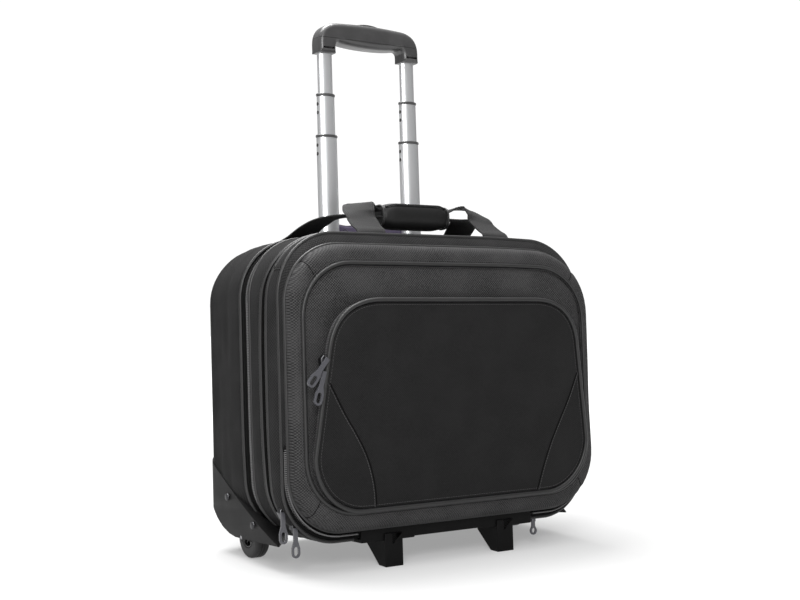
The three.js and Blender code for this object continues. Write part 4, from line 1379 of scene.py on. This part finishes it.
@dataclass
class CarryHandles:
    """Two webbing handles gathered under a padded sleeve."""

    base_half: float = 19.0
    held_half: float = 10.5
    thick: float = 2.2
    lift: float = 336.4
    sleeve_half: float = 50.0
    sleeve_y: float = 66.0
    sleeve_z: float = 363.6
    sleeve_deep: float = 17.0
    sleeve_tall: float = 16.2

    def webbing(self, name: str, left: Sequence[tuple[float, float, float]], node: str) -> None:
        """A strap through its left half's knots and their mirror image.

        Its half width eases from the sewn ends to the sleeve, where it is folded, and its
        section thins a little towards both edges.

        Args:
            name: The piece's name.
            left: Knots from the left end to the middle.
            node: The CAD node that it replaces.
        """
        knots = list(left) + [(-x, y, z) for x, y, z in reversed(left[:-1])]
        path = curve(knots, 150)
        share = np.linspace(0.0, 1.0, len(path))
        near = np.minimum(share, 1.0 - share)
        width = self.base_half + (self.held_half - self.base_half) * smooth(near, 0.2, 0.335)
        tangent = tangents(path)
        side = unit(np.cross(tangent, np.array((0.0, 0.0, 1.0))))
        up = unit(np.cross(side, tangent))
        across = np.linspace(-1.0, 1.0, 9)
        top = np.stack([across, 0.5 * self.thick - 0.35 * np.abs(across) ** 8], -1)
        under = np.stack([across[::-1], -0.5 * self.thick + 0.35 * np.abs(across[::-1]) ** 8], -1)
        scale = np.stack([width, np.ones(len(path))], -1)
        strap = sweep(path, side, up, np.concatenate([top, under])[::-1], scale=scale)
        piece(name, strap, Finish.WEBBING, stands_for=[node], sharp=60.0)
        rows = []
        for sign in (-1.0, 1.0):
            line = path + side * (sign * width * 0.84)[:, None] + up * (0.5 * self.thick)
            rows.append(blocks(line, up, 3.4, (2.4, 0.6, 0.4)))
        piece(f"{name}_stitching", rows[0] + rows[1], Finish.THREAD)

    def taper(self, x: Union[float, Array]) -> Array:
        """How the sleeve's section narrows towards both ends."""
        return 1.0 - 0.25 * smooth(np.abs(x), 30.0, self.sleeve_half)

    def sleeve(self) -> None:
        """The sleeve: ovals along x whose size eases in at both ends, swelled by simulation."""
        rows = []
        angle = np.linspace(0.0, TURN, 64, endpoint=False)
        for x in np.linspace(-self.sleeve_half + 1.5, self.sleeve_half - 1.5, 26):
            ease, c, s = self.taper(x), np.cos(angle), np.sin(angle)
            y = self.sleeve_y + self.sleeve_deep * ease * np.sign(c) * np.abs(c) ** 0.7
            z = self.sleeve_z + self.sleeve_tall * ease * np.sign(s) * np.abs(s) ** 0.7
            rows.append(np.stack([np.full_like(y, x), y, z], -1))
        shape = grid(np.array(rows), close_cols=True, caps=True, flip=False)
        pad = piece("handle_sleeve_pad", shape, Finish.SLEEVE,
                    stands_for=["handle_wrap"])
        def sewn(points: Array) -> Array:
            """Points at the hemmed ends, along the closure and in two soft creases."""
            ends = np.abs(points[:, 0]) > self.sleeve_half - 4.0
            crease = np.abs(np.abs(points[:, 0]) - 20.0) < 1.6
            closure = (np.abs(points[:, 1] - 52.0) < 1.6) & (points[:, 2] > 365.0)
            return ends | closure | (crease & (points[:, 1] > 60.0))
        inflate(pad, 4.0, sewn, 3.0)
        subdivided(pad)
        hems = []
        for x in (-self.sleeve_half + 2.5, self.sleeve_half - 2.5):
            ring = rows[0].copy()
            ring[:, 0] = x
            out = unit(ring - (x, 66.0, 365.4))
            hems.append(rope(ring + out * 0.5, out, 1.5, True))
        x = np.linspace(-44.0, 44.0, 60)
        ease = self.taper(x)
        line = np.stack([x, self.sleeve_y - 14.0 * ease, self.sleeve_z + 13.6 * ease], -1)
        out = np.tile(unit(np.array((0.0, -0.6, 1.0))), (60, 1))
        hems.append(rope(line, out, 1.2))
        piece("handle_sleeve_hems", joined(hems), Finish.PIPING)

    def build(self) -> None:
        """Builds both handles and the sleeve."""
        self.webbing("front_handle_webbing", [
            (-90, 12, self.lift - 4), (-90, 15, self.lift + 3), (-89.5, 24, 345), (-88, 37, 355),
            (-86, 48, 367),
            (-77, 60, 377), (-63, 66, 376), (-48, 66, 370), (0, 66, 370)], "front_carry_handle")
        self.webbing("rear_handle_webbing", [
            (-116, 188, self.lift - 2.0), (-116, 168, self.lift + 1), (-115, 142, 343),
            (-110, 118, 354), (-100, 96, 362), (-84, 80, 364), (-66, 68, 362), (-48, 66, 362),
            (0, 66, 362)],
            "rear_carry_handle")
        self.sleeve()


# ---- Pull handle ------------------------------------------------------------------------------


@dataclass(frozen=True)
class Stage:
    """One telescopic stage: its oval section's half axes and its ends at rest."""

    name: str
    a: float
    b: float
    start: float
    stop: float
    body: str
    locks: bool = False
    collar: bool = False


@dataclass
class PullHandle:
    """Two telescopic tubes with collars and dark domes as painted shade in their lock holes, under
    a grip with a release button.
    """

    spread: float = 62.5
    depth: float = 160.0
    wall: float = 1.3
    half: float = 75.5
    leg_low: float = 582.0
    bar_top: float = 622.0
    leg_width: float = 25.0
    grip_depth: float = 27.0
    split: float = 601.0
    stages: tuple[Stage, ...] = (
        Stage("outer", 15.8, 11.3, 3.0, 287.7, "root"),
        Stage("lower_stage", 14.0, 9.5, 192.0, 473.7, "lower_stage", True, True),
        Stage("middle_stage", 12.2, 7.7, 250.0, 526.7, "middle_stage", True, True),
        Stage("upper_stage", 10.4, 5.9, 330.0, 599.0, "upper_stage"),
    )

    def oval(self, x: float, a: float, b: float, z: float, sides: int = 64) -> Array:
        """Points of an oval: centre plus a cosine across and b sine in depth."""
        angle = np.arange(sides) * TURN / sides
        return np.stack([x + a * np.cos(angle), self.depth + b * np.sin(angle),
                         np.full(sides, z)], -1)

    def tube(self, stage: Stage, side: str, x: float) -> None:
        """A hollow tube: outer wall, rolled lip and inner wall as one closed surface."""
        lip = 0.35
        w = self.wall
        levels = [(0.0, stage.start + lip), (0.0, stage.stop - lip), (lip, stage.stop),
                  (w - lip, stage.stop), (w, stage.stop - lip), (w, stage.start + lip),
                  (w - lip, stage.start), (lip, stage.start)]
        rows = np.array([self.oval(x, stage.a - i, stage.b - i, z) for i, z in levels])
        name = f"{stage.name}_tube_{side}"
        piece(f"{name}_finished", grid(rows, close_rows=True, close_cols=True), Finish.TUBE,
              stage.body, [name], sharp=30.0)

    def collar(self, stage: Stage, side: str, x: float) -> None:
        """A moulded cap that hugs the top of a tube, with rounded edges."""
        z, lip = stage.stop + 0.3, 0.9
        section = [(lip - 0.4, 0.0), (lip, 0.5), (lip, 2.4), (lip - 0.6, 3.0),
                   (-self.wall + 0.3, 3.0), (-self.wall, 2.6), (-self.wall, 0.2),
                   (-self.wall + 0.2, 0.0)]
        rows = np.array([self.oval(x, stage.a + i, stage.b + i, z + k) for i, k in section])
        name = f"{stage.name}_collar_{side}"
        piece(f"{name}_finished", grid(rows, close_rows=True, close_cols=True), Finish.GRIP,
              stage.body, [name])

    def lock_hole_shades(self, stage: Stage, side: str, x: float) -> None:
        """Two small dark domes that fill the lock holes on the tube's left side; their dark colour
        is painted shade that stands in for the inside of each hole.
        """
        sides = 20
        angle = np.arange(sides) * TURN / sides
        dome = ((2.5, -1.0), (2.5, 0.05), (2.2, 0.3), (1.6, 0.38), (0.6, 0.42), (0.1, 0.43))
        domes = []
        for below in (10.0, 21.0):
            rows = []
            for radius, out in dome:
                ring = np.stack([np.full(sides, x - stage.a - out),
                                 self.depth + radius * np.cos(angle),
                                 stage.stop - below + radius * np.sin(angle)], -1)
                off_centre = (ring[:, 1] - self.depth) / stage.b
                ring[:, 0] += stage.a * (1.0 - np.sqrt(1.0 - off_centre**2))
                rows.append(ring)
            domes.append(grid(np.array(rows), close_cols=True, caps=True, flip=True))
        # Dark plastic domes: painted shade for the lock holes, which are not cut into the tubes.
        piece(f"{stage.name}_lock_hole_shades_{side}", joined(domes), Finish.BOARD,
              stage.body)

    def grip_outline(self) -> Array:
        """The grip from the front: two legs under a bar that swells towards its middle."""
        h, low, top, inner = self.half, self.leg_low, self.bar_top, self.half - self.leg_width
        t = np.linspace(0.0, 1.0, 30)[:, None]

        def bend(a: tuple, b: tuple, c: tuple) -> Array:
            """A parabola from a to c that leaves and arrives along the lines to b."""
            a, b, c = np.array(a, float), np.array(b, float), np.array(c, float)
            return (1 - t) ** 2 * a + 2 * t * (1 - t) * b + t**2 * c

        right = np.concatenate([
            bend((0, low + 11.5), (inner * 0.5, low + 11.5), (inner - 8, low + 14.5)),
            bend((inner - 8, low + 14.5), (inner, low + 16.0), (inner, low + 9)),
            np.array([(inner, low + 4.0), (inner, low), (inner + 8.0, low), (h - 8.0, low),
                      (h, low)]),
            bend((h, top - 28), (h, top - 1), (h - 30, top)),
            bend((h - 30, top), (h * 0.3, top + 1.6), (0, top + 1.6)),
        ])
        left = right[::-1][1:-1] * (-1.0, 1.0)
        return np.concatenate([right, left])

    def grip(self) -> None:
        """The grip's form, with its long edges rolled, cut into two shells at the parting line."""
        flat = self.grip_outline()
        loop = np.stack([flat[:, 0], np.zeros(len(flat)), flat[:, 1]], -1)
        loop = resample(loop, 1.8, closed=True)[0]
        tangent = tangents(loop, True)
        for _ in range(4):
            tangent = unit(np.roll(tangent, 1, 0) + 2 * tangent + np.roll(tangent, -1, 0))
        inward = np.stack([-tangent[:, 2], np.zeros(len(loop)), tangent[:, 0]], -1)
        roll, half = 7.0, 0.5 * self.grip_depth
        rows = []
        for angle in np.concatenate([np.linspace(-90, 0, 9), np.linspace(0, 90, 9)]):
            edge = roll * (1.0 - math.cos(math.radians(angle)))
            face = 1.0 if len(rows) > 8 else -1.0
            y = (half - roll) * face + roll * math.sin(math.radians(angle))
            rows.append(loop + inward * edge + np.array((0.0, self.depth + y, 0.0)))
        form = grid(np.array(rows), close_cols=True, caps=True, flip=True)
        for part, node, low in (("grip_upper_cover", "grip_upper_shell", True),
                                ("grip_lower_cover", "grip_lower_shell", False)):
            cover = piece(part, form, Finish.GRIP, "upper_stage", [node])
            work = bmesh.new()
            work.from_mesh(cover.data)
            gap = 0.22 if low else -0.22
            plane = Vector(CASE.world(np.array((0.0, self.depth, self.split + gap))))
            up = Vector(CASE.up)
            cut = bmesh.ops.bisect_plane(work, geom=work.verts[:] + work.edges[:] + work.faces[:],
                                         plane_co=plane, plane_no=up, clear_inner=low,
                                         clear_outer=not low)
            edges = [e for e in cut["geom_cut"] if isinstance(e, bmesh.types.BMEdge)]
            bmesh.ops.holes_fill(work, edges=edges)
            work.to_mesh(cover.data)
            work.free()
            cover.data.set_sharp_from_angle(angle=math.radians(50.0))

    def build(self) -> None:
        """Builds the tubes, collars, painted-shade domes in the lock holes, grip and release
        button.
        """
        for side, sign in (("left", -1.0), ("right", 1.0)):
            x = sign * self.spread
            for stage in self.stages:
                self.tube(stage, side, x)
                if stage.collar:
                    self.collar(stage, side, x)
                if stage.locks:
                    self.lock_hole_shades(stage, side, x)
            redress(Finish.STEEL, f"release_rod_{side}")
        self.grip()
        refined("release_button", Finish.GRIP, "release", 0.7)
        refined("tube_bezel", Finish.BOARD, bevel=0.6)
        refined("tube_foot_bracket", Finish.BOARD, bevel=0.6)


# ---- Wheels, guards, feet and rail ------------------------------------------------------------


@dataclass
class Undercarriage:
    """The corner wheels in their guards, the base rail and the two front feet."""

    wheel_x: float = 192.0
    radius: float = 25.5
    width: float = 18.0
    hub: float = 13.0
    axle: float = 2.8

    def turned(self, centre: Array, profile: Sequence[tuple[float, float]], sign: float) -> Shape:
        """A profile of radius and outward place turned about the wheel's axle, closed on itself."""
        angle = np.arange(72) * TURN / 72
        rows = [np.stack([np.full(72, centre[0] + sign * out), centre[1] + r * np.cos(angle),
                          centre[2] + r * np.sin(angle)], -1) for r, out in profile]
        return grid(np.array(rows), close_rows=True, close_cols=True, flip=sign < 0)

    def wheel(self, side: str, sign: float) -> None:
        """A tyre with rounded shoulders and two grooves, on a dished hub with a raised boss."""
        low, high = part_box(f"wheel_tyre_{side}")
        centre = CASE.local(np.array((low + high) / 2))
        w, r = self.width / 2, self.radius
        h = self.hub
        half = [(r, 1.0), (r - 0.7, 1.3), (r - 0.7, 1.9), (r, 2.2), (r, w - 4.0),
                (r - 0.5, w - 2.2), (r - 1.8, w - 0.7), (r - 4.0, w), (h + 1.0, w),
                (h + 0.3, w - 0.6)]
        tyre = [(radius, -out) for radius, out in reversed(half)] + half
        hub = [(self.axle, -w + 0.4), (h - 0.4, -w + 0.4), (h, -w + 0.8), (h, w - 0.5),
               (h - 0.6, w), (h - 1.6, w), (h - 2.2, w - 0.8), (h - 2.4, w - 5.6),
               (6.4, w - 6.0), (5.9, w - 5.4), (5.5, w - 0.6), (5.0, w), (self.axle, w)]
        body = f"wheel_{side}"
        piece(f"wheel_tyre_{side}_finished", self.turned(centre, tyre, sign), Finish.TYRE,
              body, [f"wheel_tyre_{side}"], sharp=32.0)
        spokes = self.spokes(centre, sign)
        piece(f"wheel_hub_{side}_finished", self.turned(centre, hub, sign) + spokes, Finish.HUB,
              body, [f"wheel_hub_{side}"], sharp=32.0)

    def spokes(self, centre: Array, sign: float) -> Shape:
        """Six short ribs in the hub's dish, each a block from the boss to the rim."""
        w = self.width / 2
        angle = np.arange(6) * TURN / 6
        reach = 8.2
        middle = np.stack([np.full(6, centre[0] + sign * (w - 4.0)),
                           centre[1] + reach * np.cos(angle),
                           centre[2] + reach * np.sin(angle)], -1)
        way = np.stack([np.zeros(6), np.cos(angle), np.sin(angle)], -1)
        out = np.tile(np.array((1.0, 0.0, 0.0)), (6, 1))
        across = np.cross(way, out)
        return boxes(middle, np.stack([way * 5.6, across * 1.5, out * 4.4], 1))

    def build(self) -> None:
        """Builds the wheels and finishes the moulded parts round them."""
        for side, sign in (("left", -1.0), ("right", 1.0)):
            self.wheel(side, sign)
            refined(f"wheel_guard_{side}", Finish.GUARD, bevel=0.5)
            refined(f"foot_{side}", Finish.RAIL, bevel=1.0)
            refined(f"wheel_axle_{side}", Finish.STEEL, bevel=0.3)
            for place in ("rear", "front"):
                refined(f"guard_screw_{place}_{side}", Finish.SCREW, bevel=0.0)
        refined("base_rail", Finish.RAIL, bevel=0.8)


# ---- Zip sliders and pulls --------------------------------------------------------------------


@dataclass
class ZipHardware:
    """Five black sliders, each with a moulded pull that swings on it."""

    homes: tuple[tuple[str, str], ...] = (
        ("pocket_upper", "lid"), ("pocket_lower", "lid"), ("side_upper", "root"),
        ("side_lower", "root"), ("bottom_right", "root"))

    def build(self) -> None:
        """Finishes every slider and pull."""
        for name, body in self.homes:
            refined(f"{name}_slider", Finish.SLIDER, body, 0.9)
            refined(f"{name}_pull", Finish.PULL, f"{name}_pull", 0.8)


# ---- The inside -------------------------------------------------------------------------------


@dataclass
class Inside:
    """The lined pocket that the grip sinks into, its collar, and the covered boards."""

    half: float = 94.2
    middle: float = 161.0
    reach: float = 20.2
    corner: float = 7.0
    floor: float = 289.0
    top: float = 335.5

    def ring(self, inset: float, z: Union[float, Array]) -> Array:
        """A rounded rectangle seen from above, at a height."""
        flat = Outline(self.half, self.middle - self.reach, self.middle + self.reach,
                       (self.corner,) * 4).at(phases(side=26, corner=8), inset)[0]
        return np.stack([flat[:, 0], flat[:, 1], np.broadcast_to(z, flat[:, 0].shape)], -1)

    def build(self) -> None:
        """Builds the liner, its collar and hem, and covers the boards."""
        rows = []
        for t in np.linspace(0.0, 1.0, 14):
            rise = math.sin(math.pi * t)
            row = self.ring(0.6 + 1.2 * rise, self.top - t * (self.top - self.floor))
            row[:, 1] += folds(row, 0.7, 12.0, 31) * rise
            rows.append(row)
        rows += [self.ring(inset, self.floor) for inset in (2.0, 4.0, 6.0)]
        shape = grid(np.array(rows), close_cols=True, flip=True)
        piece("handle_pocket_lining", shape, Finish.LINING,
              stands_for=["handle_pocket_liner"], thick=-0.8)
        x = np.linspace(-86.0, 86.0, 90)
        flap = []
        for t in np.linspace(0.0, 1.0, 12):
            round_off = 1.0 - 0.5 * smooth(np.abs(x), 62.0, 86.0) ** 2
            tall = 33.0 + 1.6 * np.sin(x / 19.0) + 0.8 * np.sin(x / 6.3 + 1.0)
            z = 334.0 + t * round_off * tall
            y = 184.5 + 3.0 * t * t + 1.5 * t * np.sin(x / 13.0 + 0.7) + 0.5 * t * np.sin(x / 4.7)
            flap.append(np.stack([x, y, z], -1))
        rows = np.array(flap)
        piece("recess_flap_lining", grid(rows, flip=True), Finish.LINING,
              thick=0.5)
        piece("recess_flap_cloth", grid(rows + np.array((0.0, 1.3, 0.0))), Finish.SIDE_CLOTH,
              thick=0.6)
        hem = np.concatenate([rows[:, 0], rows[-1], rows[::-1, -1]]) + np.array((0.0, 0.7, 0.0))
        out = unit(hem - np.array((0.0, 185.0, 345.0)))
        piece("recess_flap_hem", rope(hem, out, 1.3), Finish.PIPING)
        rim = self.ring(-0.6, self.top + 0.4)
        outward = unit(rim - np.array((0.0, self.middle, self.top - 12.0)))
        piece("handle_pocket_piping", rope(rim, outward, 1.5, True), Finish.PIPING)
        redress(Finish.LINING, "divider_panel", "tube_cover_panel")
        redress(Finish.BOARD, "bottom_board")


# ---- The studio -------------------------------------------------------------------------------


@dataclass
class Studio:
    """A pale floor, soft lights and the camera."""

    eye: tuple[float, float, float] = (-850.1, -1210.8, 190.3)
    heading: tuple[float, float] = (0.5448, 0.8388)
    lens: float = 56.1
    reach: float = 9.0
    glow_reach: tuple[float, float] = (0.75, 1.9)
    horizon: float = 0.10
    zenith: float = 0.80
    backdrop: float = 1.05

    def camera(self) -> None:
        """A level camera that stands in front and to the left of the case."""
        data = bpy.data.cameras.new("camera")
        data.lens, data.sensor_width = self.lens, 36.0
        data.clip_end = 50.0
        eye = bpy.data.objects.new("camera", data)
        eye.location = Vector(CASE.world(np.array(self.eye)))
        eye.rotation_euler = Vector((*self.heading, 0.0)).to_track_quat("-Z", "Y").to_euler()
        bpy.context.scene.collection.objects.link(eye)
        bpy.context.scene.camera = eye

    def light(self, name: str, spot: tuple[float, float, float], aim: tuple[float, float, float],
              size: tuple[float, float], power: float) -> None:
        """A soft rectangular light at a spot in the row frame, turned to its aim."""
        data = bpy.data.lights.new(name, "AREA")
        data.shape = "RECTANGLE"
        data.size, data.size_y = size
        data.energy = power
        lamp = bpy.data.objects.new(name, data)
        lamp.location = spot
        lamp.rotation_euler = (Vector(aim) - Vector(spot)).to_track_quat("-Z", "Y").to_euler()
        bpy.context.scene.collection.objects.link(lamp)

    def daylight(self, way: tuple[float, float, float], strength: float, spread: float) -> None:
        """An even light from one side, as wide as a bank of softboxes."""
        data = bpy.data.lights.new("softbox_bank", "SUN")
        data.energy = strength
        data.angle = math.radians(spread)
        lamp = bpy.data.objects.new("softbox_bank", data)
        lamp.rotation_euler = Vector(way).to_track_quat("Z", "Y").to_euler()
        bpy.context.scene.collection.objects.link(lamp)

    def floor(self) -> None:
        """A wide flat disc that glows more the farther it lies from the case."""
        sides = 96
        angle = np.arange(sides) * TURN / sides
        ring = np.stack([self.reach * np.cos(angle), self.reach * np.sin(angle),
                         np.zeros(sides)], -1)
        mesh = bpy.data.meshes.new("studio_floor")
        mesh.from_pydata(ring.tolist(), [], [list(range(sides))])
        made = bpy.data.objects.new("studio_floor", mesh)
        bpy.context.scene.collection.objects.link(made)
        g = Graph("studio_white")
        place = g.place(Layout.FRONT)
        away = (place.part(0) ** 2.0 + place.part(1) ** 2.0) ** 0.5
        white = (1.0, 1.0, 1.0)
        near, far = self.glow_reach
        glow = g.mix(g.clamped(away, near, far), grey(0.33, white), grey(0.97, white))
        mesh.materials.append(g.close(grey(0.36, white), 0.8, Specular_IOR_Level=0.1,
                                      Emission_Color=glow, Emission_Strength=1.0))

    def surroundings(self) -> None:
        """A white room that the camera sees evenly lit, and that lights the case from above."""
        world = bpy.data.worlds.new("white_room")
        world.use_nodes = True
        tree = world.node_tree
        sky = tree.nodes["Background"]
        sky.inputs["Color"].default_value = (1.0, 1.0, 1.0, 1.0)
        seen = tree.nodes.new("ShaderNodeLightPath")
        way = tree.nodes.new("ShaderNodeTexCoord")
        parts = tree.nodes.new("ShaderNodeSeparateXYZ")
        height = tree.nodes.new("ShaderNodeMapRange")
        height.inputs["To Min"].default_value = self.horizon
        height.inputs["To Max"].default_value = self.zenith
        tree.links.new(way.outputs["Generated"], parts.inputs["Vector"])
        tree.links.new(parts.outputs["Z"], height.inputs["Value"])
        level = tree.nodes.new("ShaderNodeMapRange")
        level.inputs["To Max"].default_value = self.backdrop
        tree.links.new(height.outputs["Result"], level.inputs["To Min"])
        tree.links.new(seen.outputs["Is Camera Ray"], level.inputs["Value"])
        tree.links.new(level.outputs["Result"], sky.inputs["Strength"])
        bpy.context.scene.world = world

    def build(self) -> None:
        """Builds the studio and its white surroundings."""
        self.camera()
        self.floor()
        self.surroundings()
        self.daylight((-0.15, -0.4, 1.8), 1.7, 50.0)
        self.light("front", (-1.1, -1.5, 1.1), (0.0, 0.0, 0.5), (0.7, 0.7), 27.0)
        self.light("top", (-0.2, 0.5, 2.0), (0.0, 0.0, 0.3), (1.4, 0.9), 60.0)
        bpy.context.scene.view_settings.view_transform = "Standard"


def main() -> None:
    """Builds the case, sub-assembly by sub-assembly, logging each new piece's face count."""
    logging.basicConfig(level=logging.INFO, format="%(name)s: %(message)s")
    parts = (Studio(), SoftBody(), LidZip(), Lid(), FrontPocket(), CarryHandles(), PullHandle(),
             Undercarriage(), ZipHardware(), Inside())
    for part in parts:
        LOG.info("building %s", type(part).__name__)
        part.build()
    bpy.context.view_layer.update()


if __name__ == "__main__":
    main()
